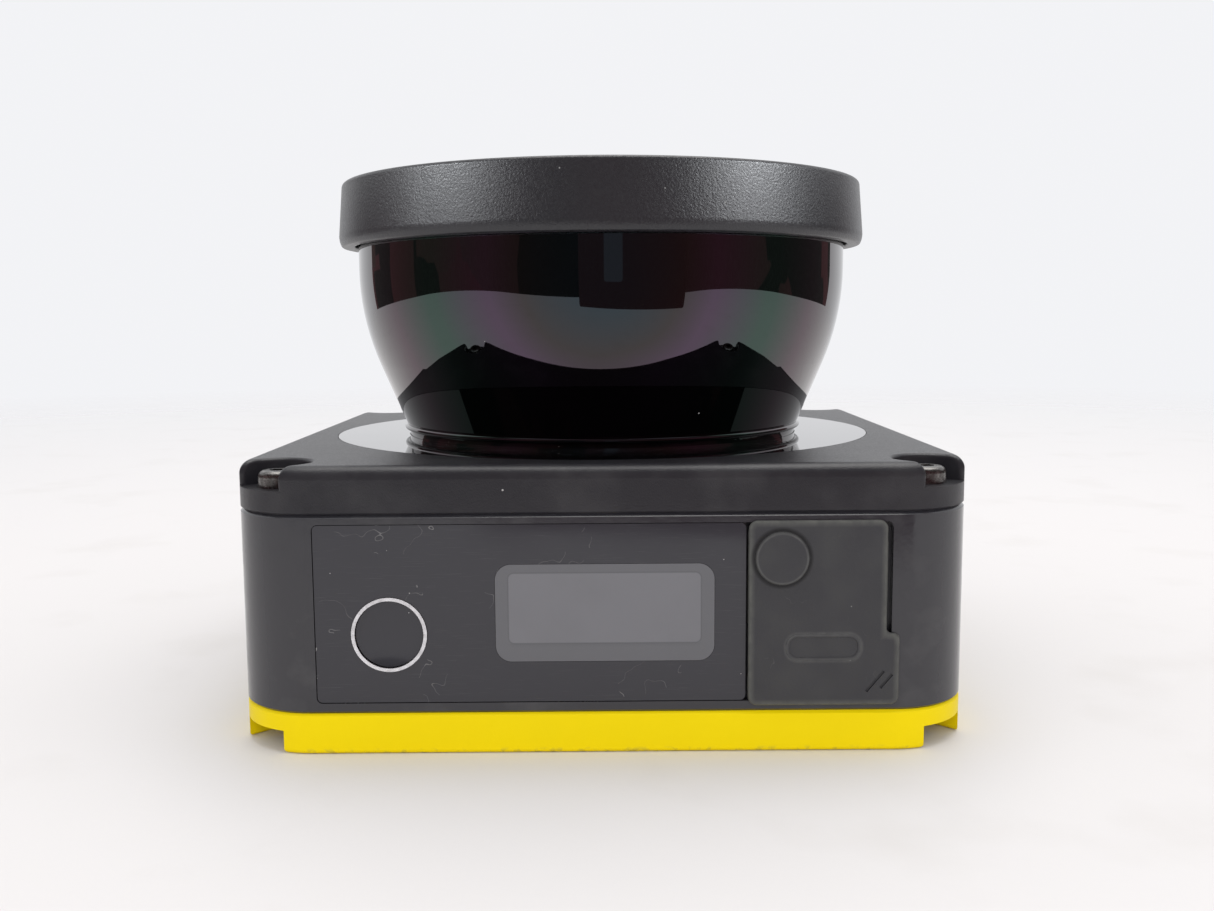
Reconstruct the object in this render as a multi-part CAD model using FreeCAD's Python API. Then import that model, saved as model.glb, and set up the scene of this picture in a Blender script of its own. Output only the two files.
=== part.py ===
import FreeCAD, Part
import math
import os

# Compact two-dimensional lidar scanner.
# Millimetres. +Z is up, -Y is the front with the display, X runs to the right seen from the front.
# The origin is the centre of the underside of the base plate, on the scan head's axis.

# ---------------------------------------------------------------- outline and stack
side = 101.0              # width and depth of the square body
corner_r = 11.0           # vertical corners of the body
plate_h = 5.6             # base plate
housing_h = 26.95         # housing box
cover_h = 6.53            # top cover
wall = 2.6                # side and rear walls of the housing, skirt of the cover
front_wall = 4.2          # housing wall behind the front panel
seam_chamfer = 0.35       # broken edges on both sides of each seam

plate_top = plate_h
housing_top = plate_top + housing_h
cover_top = housing_top + cover_h
half = side / 2
inner_half = half - wall
front_inner = -half + front_wall

# ---------------------------------------------------------------- clearances
seat_gap = 0.1            # loose seat between pieces of one body
slide_gap = 0.08          # radial running fit of the button
thread_gap = 0.05         # radial gap that stands for a thread
swing_gap = 0.3           # between bodies that pass each other

# ---------------------------------------------------------------- corner screws
screw_inset = 6.2         # screw axis from each outer face
pocket_r = 4.6            # corner pockets, open at the corner
base_pocket_h = 3.1
base_head_sunk = 1.1      # head seat above the ceiling of the base pocket
cover_pocket_depth = 3.38
pocket_round = 0.6
post_r = 6.0              # screw posts of the housing
screw_r = 1.5
screw_head_r = 2.6
screw_head_h = 2.3
screw_head_round = 0.9
screw_key = 2.0           # hexagon across flats
screw_key_depth = 1.2
base_screw_length = 10.0
cover_screw_length = 13.0
hole_spare = 1.0          # blind hole beyond the screw's tip

screw_at = half - screw_inset
cover_pocket_floor = cover_top - cover_pocket_depth
base_head_seat = base_pocket_h + base_head_sunk

# ---------------------------------------------------------------- base plate
plate_rim = 5.0
plate_floor = 2.6
plate_edge = 0.6          # rounded lower edges, those of the pockets too
insert_pitch = 60.0       # mounting holes, both ways
insert_r = 3.0
insert_bore_r = 1.65      # tapping size of an M4 thread
insert_length = 7.0
insert_cover = 1.6        # boss above the insert
insert_boss_wall = 1.4
board_boss_wall = 1.7
board_boss_x = 34.0
board_boss_y = 16.0
gasket_w = 1.2
gasket_h = 1.2
gasket_inset = 0.7        # gasket from the outer face

# ---------------------------------------------------------------- boards and chassis
board_rise = 4.0          # board above the base plate
board_t = 1.6
board_half_x = 38.0
board_half_y = 34.0
board_screw_r = 1.0
board_screw_head_r = 1.9
board_screw_head_h = 1.2
board_screw_round = 0.3
board_screw_key = 1.3
board_screw_key_depth = 0.7
board_screw_length = 6.0
chassis_rise = 8.4        # deck above the base plate
chassis_t = 2.5
chassis_ear_inset = 4.7   # ear screws from the inside of the walls
chassis_ear_y = 22.0
chassis_ear_r = 4.0
chassis_boss_h = 5.0
chassis_screw_r = 1.25
chassis_screw_head_r = 2.3
chassis_screw_head_h = 1.5
chassis_screw_round = 0.5
chassis_screw_key = 1.8
chassis_screw_key_depth = 0.9
chassis_screw_length = 6.0

board_z = plate_top + board_rise
board_top = board_z + board_t
board_boss_r = board_screw_r + board_boss_wall
chassis_z = plate_top + chassis_rise
chassis_top = chassis_z + chassis_t
chassis_ear_x = inner_half - chassis_ear_inset
insert_boss_r = insert_r + insert_boss_wall
insert_boss_top = insert_length + insert_cover

# ---------------------------------------------------------------- bearings and motor
hub_bore_r = 14.0
hub_wall = 1.0
bearing_h = 4.0
bearing_w = 3.5           # radial section of a bearing
ring_w = 1.3              # radial section of one bearing ring
ball_r = 0.8
ball_count = 14
groove_gap = 0.06
bearing_rise = 0.7        # lower bearing above the deck
bearing_pitch = 8.2       # lower bearing to upper bearing
sleeve_wall = 2.0
stator_rise = 1.9
stator_h = 7.2
stator_w = 7.0            # radial depth of the stator
yoke_w = 2.2
tooth_w = 2.6
tooth_count = 12
shoe_h = 1.2
shoe_w = 9.0
coil_w = 5.6
coil_over = 0.8           # coil past the tooth, above and below
air_gap = 0.6
magnet_t = 2.0
magnet_count = 14
magnet_gap = 0.5
bell_wall = 1.5
bell_below = 0.6          # bell below the stator
web_t = 1.0
web_rise = 0.6            # bell web above the upper bearing
hub_flange_inset = 3.6    # flange inside the bell's radius
hub_flange_t = 2.0

hub_r = hub_bore_r + hub_wall
bearing_out_r = hub_r + bearing_w
bearing_z = chassis_top + bearing_rise
bearing_top = bearing_z + bearing_pitch + bearing_h
sleeve_r = bearing_out_r + sleeve_wall
sleeve_top = bearing_top + 0.2
stator_z = chassis_top + stator_rise
stator_out_r = sleeve_r + stator_w
magnet_in_r = stator_out_r + air_gap
bell_in_r = magnet_in_r + magnet_t
bell_r = bell_in_r + bell_wall
bell_z = stator_z - bell_below
hub_flange_r = bell_r - hub_flange_inset
web_z = bearing_top + web_rise
flange_z = web_z + web_t
flange_top = flange_z + hub_flange_t

# ---------------------------------------------------------------- encoder
disc_t = 0.4
disc_overhang = 1.9       # disc past the bell
slit_count = 36
slit_w = 0.8
slit_l = 1.2
sensor_w = 6.0
sensor_jaw = 1.0
sensor_slot_gap = 0.6
sensor_reach = 1.4        # jaws over the disc's edge
sensor_back = 2.2
sensor_edge_gap = 0.6
chassis_edge = 0.2        # deck past the sensor's post
sensor_angle = 150.0
sensor_post_gap = 1.4     # post outside the bell

disc_z = flange_top
disc_r = bell_r + disc_overhang
sensor_out_r = disc_r + sensor_edge_gap + sensor_back
chassis_r = sensor_out_r + chassis_edge

# ---------------------------------------------------------------- mirror head
holder_base_h = 3.0
holder_inset = 2.0        # ring inside the hub's flange
holder_gap = 0.6          # ring outside the hub's bore
cheek_t = 3.0
mirror_side = 1.0         # mirror past the bore, either side
mirror_l = 36.0
mirror_t = 2.0
mirror_back_t = 2.5
cheek_front = -7.0
cheek_rear = 12.0
weight_w = 6.5
weight_h = 3.0
weight_arc = 100.0

mirror_w = 2 * (hub_bore_r + mirror_side)
holder_base_r = hub_flange_r - holder_inset
weight_in_r = holder_base_r - weight_w
holder_z = disc_z + disc_t
holder_top = holder_z + holder_base_h

# ---------------------------------------------------------------- receiver and laser
barrel_gap = 0.6          # barrel inside the turning hub
barrel_wall = 1.4
barrel_flange_w = 4.1
barrel_flange_t = 2.0
barrel_rise = 4.5         # barrel above the hub
barrel_floor_t = 1.5
barrel_floor_w = 3.5
lens_seat_drop = 4.1      # lens seat below the barrel's mouth
lens_seat_t = 1.2
lens_seat_w = 0.9
lens_edge_t = 2.0
lens_bulge = 2.4
laser_r = 3.0
laser_wall = 0.4
laser_l = 17.2
laser_rise = 1.7          # laser tube above the barrel
laser_lens_t = 1.2
laser_diode_h = 3.0
detector_board_t = 1.0
detector_r = 4.2
detector_h = 4.0

barrel_r = hub_bore_r - barrel_gap
barrel_bore_r = barrel_r - barrel_wall
barrel_flange_r = barrel_r + barrel_flange_w
barrel_floor_bore_r = barrel_bore_r - barrel_floor_w
barrel_top = flange_top + barrel_rise
lens_seat_z = barrel_top - lens_seat_drop
laser_top = barrel_top + laser_rise
laser_z = laser_top - laser_l
barrel_z = chassis_z - barrel_flange_t

# ---------------------------------------------------------------- cover, ring and hood
cover_round = 1.8
cover_plate_t = 2.5
collar_w = 2.65           # collar outside the light ring
collar_drop = 5.78        # underside of the collar below the cover's top
collar_ledge_w = 3.0      # ledge that carries the hood's flange
light_ring_edge = 5.05    # ring outside the hood's flange
light_ring_t = 2.0
hood_flange_t = 1.58
hood_seal_t = 0.6
hood_wall = 2.0
neck_gap = 4.8            # neck outside the mirror holder
neck_rise = 0.82          # cylindrical neck above the cover
flare_slope = 0.42        # radius gained per height on the flare
flare_round = 3.0
shoulder_round = 40.0
flare_w = 7.7             # bowl wider than its neck
hood_rise = 34.1          # roof above the foot of the flare
mirror_rise = 15.1        # crossing of the mirror face and the axis above the foot of the flare
hood_round = 1.0
led_hole_r = 1.6
led_r = 1.35
led_h = 1.0
led_count = 12
status_board_reach = 3.3  # board inside the circle of the lights
status_board_margin = 0.7 # between the board and the front wall
status_board_t = 1.4

collar_z = cover_top - collar_drop
status_board_out_r = -front_inner - status_board_margin
ring_z = cover_top - light_ring_t
flange_seat_z = ring_z - hood_flange_t - hood_seal_t
flare_z = cover_top + neck_rise
neck_r = holder_base_r + neck_gap + hood_wall
hood_r = neck_r + flare_w
collar_bore_r = sensor_out_r + swing_gap
hood_flange_r = collar_bore_r + collar_ledge_w
light_ring_r = hood_flange_r + light_ring_edge
hood_top = flare_z + hood_rise
mirror_z = flare_z + mirror_rise
collar_r = light_ring_r + collar_w
led_circle_r = (hood_flange_r + light_ring_r) / 2
status_board_in_r = led_circle_r - status_board_reach

# ---------------------------------------------------------------- cap
cap_over = 3.05           # cap outside the hood
cap_taper = 0.7
cap_drop = 4.1            # skirt below the hood's roof
cap_rise = 6.0            # top above the hood's roof
cap_wall = 2.4
cap_skirt_gap = 0.5
cap_round = 0.9
cap_rib_inset = 8.5       # inside of the rib from the hood's radius
cap_rib_w = 3.0
cap_seal_w = 2.4
cap_seal_h = 1.6

cap_r = hood_r + cap_over
cap_top_r = cap_r - cap_taper
cap_z = hood_top - cap_drop
cap_top = hood_top + cap_rise
cap_rib_in_r = hood_r - cap_rib_inset

# ---------------------------------------------------------------- front panel
panel_half = 38.5         # recess, either side of the middle
panel_low = 1.45          # recess above the base plate
panel_high = 1.2          # recess below the cover
panel_depth = 1.6
panel_r = 0.8
face_t = 1.5
window_x = 0.25
window_rise = 12.2        # window's middle above the recess's lower edge
window_w = 29.3
window_h = 13.3
window_r = 2.2
window_ledge = 1.0
display_edge = 0.85       # display unit past the window's opening
button_x = -28.56
button_rise = 9.4
button_ring_r = 5.06
button_ring_w = 0.46
button_ring_proud = 0.15  # ring in front of the faceplate
button_collar_w = 1.0
button_collar_t = 1.0
button_front = 0.45       # cap behind the body's face
button_dish = 0.35
button_travel = 0.6
pusher_l = 0.8
plunger_r = 1.5
plunger_sunk = 0.5
switch_w = 6.0
front_board_gap = 5.8     # front wall to front board
front_board_t = 1.4
front_board_half = 37.0
front_board_low = 1.8     # board above the base plate
front_board_high = 2.15   # board below the cover
pillar_r = 2.2
pillar_inset = 3.0        # pillars from the board's ends
pillar_low = 3.0
pillar_beside = 4.2       # lower pillar beside the window
pillar_high = 3.6

panel_z0 = plate_top + panel_low
panel_z1 = housing_top - panel_high
window_z = panel_z0 + window_rise
display_w = window_w - 2 * (window_ledge - display_edge)
display_h = window_h - 2 * (window_ledge - display_edge)
button_z = panel_z0 + button_rise
front_board_z0 = plate_top + front_board_low
front_board_z1 = housing_top - front_board_high
pillars = [(-front_board_half + pillar_inset, front_board_z1 - pillar_high),
           (front_board_half - pillar_inset, front_board_z1 - pillar_high),
           (window_x - window_w / 2 - pillar_beside, front_board_z0 + pillar_low)]
recess_y = -half + panel_depth
face_y = recess_y - face_t
front_board_y = front_inner + front_board_gap

# ---------------------------------------------------------------- socket and its rubber flap
flap_x0 = 19.3
flap_short = 0.8          # flap short of the recess's right edge
flap_below = 0.55         # flap past the recess's lower edge
flap_above = 0.25         # flap past the recess's upper edge
tab_over = 1.0            # tab past the recess's right edge
tab_h = 9.8
flap_r = 1.2
flap_proud = 0.6
flap_lip = 0.5
flap_body = 1.8           # thickness inside the recess, lip included
flap_inset = 0.7          # body inside the recess's edges, so that it swings out
knob_to_hinge = 7.2       # bending line from the middle of the knob, along x
hinge_gap = 0.3
knob_in_x = 4.4           # knob from the flap's upper left corner
knob_in_z = 5.0
knob_r = 3.6
knob_h = 0.5
stem_r = 2.2
stem_head_r = 3.2
stem_head_t = 1.2
socket_in_x = 11.2        # socket from the flap's lower left corner
socket_in_z = 6.9
well_w = 12.8
well_h = 6.8
plug_gap = 0.9
plug_depth = 1.6
socket_w = 8.94
socket_h = 3.26
socket_wall = 0.3
tongue_t = 0.7
tongue_back = 0.8
grip_in_x = 2.9           # grip grooves from the tab's lower corner
grip_in_z = 3.3
grip_pitch = 1.5
grip_l = 3.2
grip_w = 0.6
grip_depth = 0.25

flap_front = -half - flap_proud
flap_x1 = panel_half - flap_short
flap_z0 = panel_z0 - flap_below
flap_z1 = panel_z1 + flap_above
tab_x1 = panel_half + tab_over
tab_z1 = flap_z0 + tab_h
knob_x = flap_x0 + knob_in_x
knob_z = flap_z1 - knob_in_z
socket_x = flap_x0 + socket_in_x
socket_z = flap_z0 + socket_in_z
grip_x = tab_x1 - grip_in_x
grip_z = flap_z0 + grip_in_z
hinge_offset = knob_x - knob_z + knob_to_hinge   # the bending line is x - z = hinge_offset

# ---------------------------------------------------------------- rear bay and connectors
bay_half = 27.0
bay_low = 3.4             # bay above the base plate
bay_high = 3.55           # bay below the cover
bay_depth = 11.0
bay_wall = 2.2
bay_r = 2.5
plug_pitch = 25.0
stud_r = 6.0
stud_l = 9.0
stud_wall = 1.6
stud_bore_l = 7.0
stud_chamfer = 0.6
shell_flange_w = 2.4
shell_flange_t = 1.6
tail_gap = 1.9            # plug shells behind the turning bell
nut_w = 2.3
nut_t = 1.6
seal_w = 1.2
seal_depth = 0.8
pin_r = 0.5
pin_circle_r = 2.4
pin_l = 4.0
pin_count = 5
insert_t = 2.0

bay_z0 = plate_top + bay_low
bay_z1 = housing_top - bay_high
plug_z = (bay_z0 + bay_z1) / 2
stud_bore_r = stud_r - stud_wall
shell_flange_r = stud_r + shell_flange_w
nut_r = stud_r + nut_w
bay_y = half - bay_depth
bay_inner_y = bay_y - bay_wall
shell_tail_l = bay_inner_y - bell_r - tail_gap


# ================================================================ shape helpers

def box(x0, x1, y0, y1, z0, z1):
    return Part.makeBox(x1 - x0, y1 - y0, z1 - z0, FreeCAD.Vector(x0, y0, z0))


def rod(r, z0, z1, x=0.0, y=0.0):
    """Upright cylinder from z0 to z1."""
    return Part.makeCylinder(r, z1 - z0, FreeCAD.Vector(x, y, z0))


def tube(r_in, r_out, z0, z1, x=0.0, y=0.0):
    return rod(r_out, z0, z1, x, y).cut(rod(r_in, z0, z1, x, y))


def rod_y(r, x, z, y0, y1):
    """Cylinder along Y from y0 to y1."""
    return Part.makeCylinder(r, y1 - y0, FreeCAD.Vector(x, y0, z), FreeCAD.Vector(0, 1, 0))


def corner_wire(points, radii, place):
    """Closed wire through 2-D points with each corner rounded; place maps (u, v) into space."""
    flat = [FreeCAD.Vector(u, v, 0) for u, v in points]
    marks = []
    for i, p in enumerate(flat):
        to_last = (flat[i - 1] - p).normalize()
        to_next = (flat[(i + 1) % len(flat)] - p).normalize()
        turn = to_last.getAngle(to_next) / 2
        reach = radii[i] / math.tan(turn)
        centre = p + (to_last + to_next).normalize() * (radii[i] / math.sin(turn)) if radii[i] else p
        middle = centre + (p - centre).normalize() * radii[i] if radii[i] else p
        marks.append([place(q.x, q.y) for q in (p + to_last * reach, middle, p + to_next * reach)])
    edges = []
    for i, (start, middle, end) in enumerate(marks):
        if radii[i]:
            edges.append(Part.Arc(start, middle, end).toShape())
        following = marks[(i + 1) % len(marks)][0]
        if end.distanceToPoint(following) > 1e-6:
            edges.append(Part.LineSegment(end, following).toShape())
    return Part.Wire(edges)


def turned(points, radii):
    """Solid of revolution about Z from an (r, z) outline with rounded corners."""
    wire = corner_wire(points, radii, lambda r, z: FreeCAD.Vector(r, 0, z))
    return Part.Face(wire).revolve(FreeCAD.Vector(0, 0, 0), FreeCAD.Vector(0, 0, 1), 360)


def rounded_block(half_x, half_y, r, z0, z1):
    """Upright block about the axis with rounded vertical corners."""
    points = [(-half_x, -half_y), (half_x, -half_y), (half_x, half_y), (-half_x, half_y)]
    wire = corner_wire(points, [r] * 4, lambda u, v: FreeCAD.Vector(u, v, z0))
    return Part.Face(wire).extrude(FreeCAD.Vector(0, 0, z1 - z0))


def front_slab(points, radii, y0, y1):
    """Slab facing the front, from y0 back to y1, with its outline in x and z."""
    wire = corner_wire(points, radii, lambda u, v: FreeCAD.Vector(u, y0, v))
    return Part.Face(wire).extrude(FreeCAD.Vector(0, y1 - y0, 0))


def front_panel(x0, x1, z0, z1, r, y0, y1):
    return front_slab([(x0, z0), (x1, z0), (x1, z1), (x0, z1)], [r] * 4, y0, y1)


def centred_panel(x, z, w, h, r, y0, y1):
    return front_panel(x - w / 2, x + w / 2, z - h / 2, z + h / 2, r, y0, y1)


def rotated(shape, angle, axis=(0, 0, 1), centre=(0, 0, 0)):
    copy = shape.copy()
    copy.rotate(FreeCAD.Vector(*centre), FreeCAD.Vector(*axis), angle)
    return copy


def fused(shapes):
    whole = shapes[0].multiFuse(shapes[1:]) if len(shapes) > 1 else shapes[0]
    return whole.removeSplitter()


def group(shapes):
    """Separate solids kept in one node."""
    return Part.makeCompound([solid for shape in shapes for solid in shape.Solids])


def edges_at(shape, test):
    """Edges whose ends and middle all pass the test."""
    chosen = []
    for edge in shape.Edges:
        first, last = edge.ParameterRange
        points = [edge.valueAt(first), edge.valueAt((first + last) / 2), edge.valueAt(last)]
        if all(test(p) for p in points):
            chosen.append(edge)
    return chosen


def four_corners(x, y):
    return [(sx * x, sy * y) for sx in (-1, 1) for sy in (-1, 1)]


def corner_slots(z0, z1):
    """Pockets round the corner screws that run out through the body's corners."""
    slots = []
    for x, y in four_corners(screw_at, screw_at):
        run = box(0, corner_r * 2, -pocket_r, pocket_r, z0, z1)
        run = rotated(run, math.degrees(math.atan2(y, x)))
        run.translate(FreeCAD.Vector(x, y, 0))
        slots.append(fused([rod(pocket_r, z0, z1, x, y), run]))
    return slots


def cap_screw(r, head_r, head_h, head_round, key, key_depth, length):
    """Hexagon-socket screw: head seat at z = 0, head above, shank below."""
    head = rod(head_r, 0, head_h)
    head = head.makeFillet(head_round, edges_at(head, lambda p: abs(p.z - head_h) < 1e-6))
    corners = [FreeCAD.Vector(key / math.sqrt(3) * math.cos(math.radians(60 * i)),
                              key / math.sqrt(3) * math.sin(math.radians(60 * i)), head_h - key_depth)
               for i in range(6)]
    socket = Part.Face(Part.makePolygon(corners + corners[:1])).extrude(FreeCAD.Vector(0, 0, key_depth))
    return fused([head.cut(socket), rod(r, -length, 0)])


def board_screw(length):
    return cap_screw(board_screw_r, board_screw_head_r, board_screw_head_h, board_screw_round, board_screw_key,
                     board_screw_key_depth, length)


def set_down(shape, places, z):
    """Copies of an upright shape at each (x, y), as one node."""
    copies = []
    for x, y in places:
        copy = shape.copy()
        copy.translate(FreeCAD.Vector(x, y, z))
        copies.append(copy)
    return group(copies)


# ================================================================ enclosure

def gasket(z0):
    """Flat seal that follows the body's outline."""
    outer = half - gasket_inset
    inner = outer - gasket_w
    return rounded_block(outer, outer, corner_r - gasket_inset, z0, z0 + gasket_h).cut(
        rounded_block(inner, inner, corner_r - gasket_inset - gasket_w, z0, z0 + gasket_h))


def make_base_plate():
    plate = rounded_block(half, half, corner_r, 0, plate_top)
    plate = plate.makeChamfer(seam_chamfer, edges_at(plate, lambda p: abs(p.z - plate_top) < 1e-6))
    plate = plate.cut(Part.makeCompound(corner_slots(0, base_pocket_h)))
    plate = plate.makeFillet(plate_edge, edges_at(plate, lambda p: abs(p.z) < 1e-6))
    tray = rounded_block(half - plate_rim, half - plate_rim, corner_r - plate_rim, plate_floor, plate_top)
    for x, y in four_corners(screw_at, screw_at):
        tray = tray.cut(rod(post_r + wall, plate_floor, plate_top, x, y))
    plate = plate.cut(tray).cut(gasket(plate_top - gasket_h))
    bosses = [rod(insert_boss_r, 0, insert_boss_top, x, y)
              for x, y in four_corners(insert_pitch / 2, insert_pitch / 2)]
    bosses += [rod(board_boss_r, plate_floor / 2, board_z, x, y)
               for x, y in four_corners(board_boss_x, board_boss_y)]
    plate = fused([plate] + bosses)
    cuts = [rod(insert_r, 0, insert_length, x, y) for x, y in four_corners(insert_pitch / 2, insert_pitch / 2)]
    cuts += [rod(board_screw_r + thread_gap, board_top - board_screw_length, board_z, x, y)
             for x, y in four_corners(board_boss_x, board_boss_y)]
    for x, y in four_corners(screw_at, screw_at):
        cuts.append(rod(screw_head_r + seat_gap, 0, base_head_seat, x, y))
        cuts.append(rod(screw_r + seat_gap, 0, plate_top, x, y))
    return plate.cut(Part.makeCompound(cuts))


def make_thread_inserts():
    insert = tube(insert_bore_r, insert_r, 0, insert_length)
    return set_down(insert, four_corners(insert_pitch / 2, insert_pitch / 2), 0)


def make_corner_screws():
    """Screws up through the base plate, and screws down through the cover."""
    shape = [screw_r, screw_head_r, screw_head_h, screw_head_round, screw_key, screw_key_depth]
    places = four_corners(screw_at, screw_at)
    base = rotated(cap_screw(*shape, base_screw_length), 180, (1, 0, 0))
    cover = cap_screw(*shape, cover_screw_length)
    return set_down(base, places, base_head_seat), set_down(cover, places, cover_pocket_floor)


def make_housing():
    shell = rounded_block(half, half, corner_r, plate_top, housing_top)
    for level in (plate_top, housing_top):
        shell = shell.makeChamfer(seam_chamfer, edges_at(shell, lambda p: abs(p.z - level) < 1e-6))
    room = rounded_block(inner_half, inner_half, corner_r - wall, plate_top, housing_top)
    room = room.cut(box(-half, half, -half, front_inner, plate_top, housing_top))
    shell = shell.cut(room)

    solids = [rod(post_r, plate_top, housing_top, x, y) for x, y in four_corners(screw_at, screw_at)]
    for x, y in four_corners(chassis_ear_x, chassis_ear_y):
        column = rod(chassis_ear_r, chassis_z - chassis_boss_h, chassis_z, x, y)
        side_x = math.copysign(inner_half + wall / 2, x)
        web = box(min(x, side_x), max(x, side_x), y - chassis_ear_r, y + chassis_ear_r,
                  chassis_z - chassis_boss_h, chassis_z)
        solids.append(fused([column, web]))
    solids += [rod_y(pillar_r, x, z, front_inner - front_wall / 4, front_board_y) for x, z in pillars]
    solids.append(box(-bay_half - bay_wall, bay_half + bay_wall, bay_inner_y, half - wall / 2,
                      bay_z0 - bay_wall, bay_z1 + bay_wall))
    outline = rounded_block(half - seam_chamfer, half - seam_chamfer, corner_r - seam_chamfer,
                            plate_top, housing_top)
    shell = fused([shell] + [solid.common(outline) for solid in solids])

    cuts = [gasket(housing_top - gasket_h)]
    for x, y in four_corners(screw_at, screw_at):
        cuts.append(rod(screw_r + thread_gap, plate_top, base_head_seat + base_screw_length + hole_spare, x, y))
        cuts.append(rod(screw_r + thread_gap, cover_pocket_floor - cover_screw_length - hole_spare,
                        housing_top, x, y))
    for x, y in four_corners(chassis_ear_x, chassis_ear_y):
        cuts.append(rod(chassis_screw_r + thread_gap, chassis_top - chassis_screw_length - hole_spare,
                        chassis_z, x, y))
    for x, z in pillars:
        cuts.append(rod_y(board_screw_r + thread_gap, x, z, front_inner, front_board_y))
    cuts.append(front_panel(-bay_half, bay_half, bay_z0, bay_z1, bay_r, bay_y, half))
    for x in (-plug_pitch / 2, plug_pitch / 2):
        cuts.append(rod_y(stud_r + seat_gap, x, plug_z, bay_inner_y, bay_y))
    cuts.append(front_panel(-panel_half, panel_half, panel_z0, panel_z1, panel_r, -half, recess_y))
    cuts.append(centred_panel(window_x, window_z, window_w - 2 * window_ledge, window_h - 2 * window_ledge,
                              window_r - window_ledge, recess_y, front_inner))
    cuts.append(rod_y(button_ring_r - button_ring_w, button_x, button_z, recess_y, front_inner))
    cuts.append(centred_panel(socket_x, socket_z, well_w, well_h, well_h / 2 - seat_gap, recess_y, front_inner))
    cuts.append(rod_y(stem_r + thread_gap, knob_x, knob_z, recess_y, front_inner))
    return shell.cut(Part.makeCompound(cuts))


def make_top_cover():
    lid = rounded_block(half, half, corner_r, housing_top, cover_top)
    lid = lid.makeFillet(cover_round, edges_at(lid, lambda p: abs(p.z - cover_top) < 1e-6))
    lid = lid.makeChamfer(seam_chamfer, edges_at(lid, lambda p: abs(p.z - housing_top) < 1e-6))
    room = rounded_block(inner_half, inner_half, corner_r - wall, housing_top, cover_top - cover_plate_t)
    for x, y in four_corners(screw_at, screw_at):
        room = room.cut(rod(post_r, housing_top, cover_top, x, y))
    room = room.cut(rod(collar_r, collar_z, cover_top))
    lid = lid.cut(room)
    cuts = [rod(collar_bore_r, housing_top, cover_top),
            rod(hood_flange_r + seat_gap, flange_seat_z, cover_top),
            rod(light_ring_r + seat_gap, ring_z, cover_top)]
    for i in range(led_count):
        angle = math.radians(360.0 / led_count * (i + 0.5))
        cuts.append(rod(led_hole_r, collar_z, ring_z, led_circle_r * math.cos(angle),
                        led_circle_r * math.sin(angle)))
    lid = lid.cut(Part.makeCompound(cuts)).cut(Part.makeCompound(corner_slots(cover_pocket_floor, cover_top)))

    def on_pocket_rim(p):
        x, y = abs(p.x) - screw_at, abs(p.y) - screw_at
        along, across = (x + y) / math.sqrt(2), abs(x - y) / math.sqrt(2)
        from_wall = across - pocket_r if along > 0 else math.hypot(along, across) - pocket_r
        return abs(p.z - cover_top) < 1e-3 and abs(from_wall) < 1e-3

    lid = lid.makeFillet(pocket_round, edges_at(lid, on_pocket_rim))
    for x, y in four_corners(screw_at, screw_at):
        lid = lid.cut(rod(screw_r + seat_gap, housing_top, cover_pocket_floor, x, y))
    return lid


def make_light_ring():
    return tube(neck_r + seat_gap, light_ring_r, ring_z, cover_top)


def make_status_board():
    board = tube(status_board_in_r, status_board_out_r, collar_z - status_board_t, collar_z)
    places = []
    for i in range(led_count):
        angle = math.radians(360.0 / led_count * (i + 0.5))
        places.append((led_circle_r * math.cos(angle), led_circle_r * math.sin(angle)))
    return board, set_down(rod(led_r, 0, led_h), places, collar_z)


def make_optics_hood():
    """Open-bottomed bowl of even wall with a clamped flange."""
    inner_shift = hood_wall * (math.sqrt(1 + flare_slope ** 2) - 1) / flare_slope
    shoulder_z = flare_z + (hood_r - neck_r) / flare_slope
    foot_z = ring_z - hood_flange_t
    outline = [(hood_flange_r, foot_z), (hood_flange_r, ring_z), (neck_r, ring_z), (neck_r, flare_z),
               (hood_r, shoulder_z), (hood_r, hood_top), (0, hood_top), (0, hood_top - hood_wall),
               (hood_r - hood_wall, hood_top - hood_wall), (hood_r - hood_wall, shoulder_z + inner_shift),
               (neck_r - hood_wall, flare_z + inner_shift), (neck_r - hood_wall, foot_z)]
    radii = [0, 0, 0, flare_round, shoulder_round, hood_round, 0, 0, hood_round,
             shoulder_round - hood_wall, flare_round + hood_wall, 0]
    return turned(outline, radii)


def make_hood_seal():
    return tube(collar_bore_r + seat_gap, hood_flange_r, flange_seat_z, ring_z - hood_flange_t)


def make_hood_cap():
    """Cap resting on the roof of the hood on a ring rib, with a skirt round the hood's rim."""
    skirt_r = hood_r + cap_skirt_gap
    widest_z = cap_z + cap_round
    outline = [(skirt_r, cap_z), (cap_r, cap_z), (cap_r, widest_z + 0.3), (cap_top_r, cap_top), (0, cap_top),
               (0, cap_top - cap_wall), (cap_rib_in_r, cap_top - cap_wall), (cap_rib_in_r, hood_top),
               (cap_rib_in_r + cap_rib_w, hood_top), (cap_rib_in_r + cap_rib_w, cap_top - cap_wall),
               (skirt_r, cap_top - cap_wall)]
    radii = [0.3, cap_round * 0.8, 0, cap_round, 0, 0, 0, 0, 0, 0, 0]
    return turned(outline, radii)


def make_cap_seal():
    inner = cap_rib_in_r + cap_rib_w
    return tube(inner, inner + cap_seal_w, hood_top, hood_top + cap_seal_h)


# ================================================================ front panel

def make_faceplate():
    plate = front_panel(-panel_half + seat_gap, flap_x0 - hinge_gap, panel_z0 + seat_gap, panel_z1 - seat_gap,
                        panel_r - seat_gap, face_y, recess_y)
    plate = plate.cut(centred_panel(window_x, window_z, window_w, window_h, window_r, face_y, recess_y))
    return plate.cut(rod_y(button_ring_r + seat_gap / 2, button_x, button_z, face_y, recess_y))


def make_display_window():
    return centred_panel(window_x, window_z, window_w - seat_gap, window_h - seat_gap, window_r - seat_gap / 2,
                         face_y, recess_y)


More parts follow.
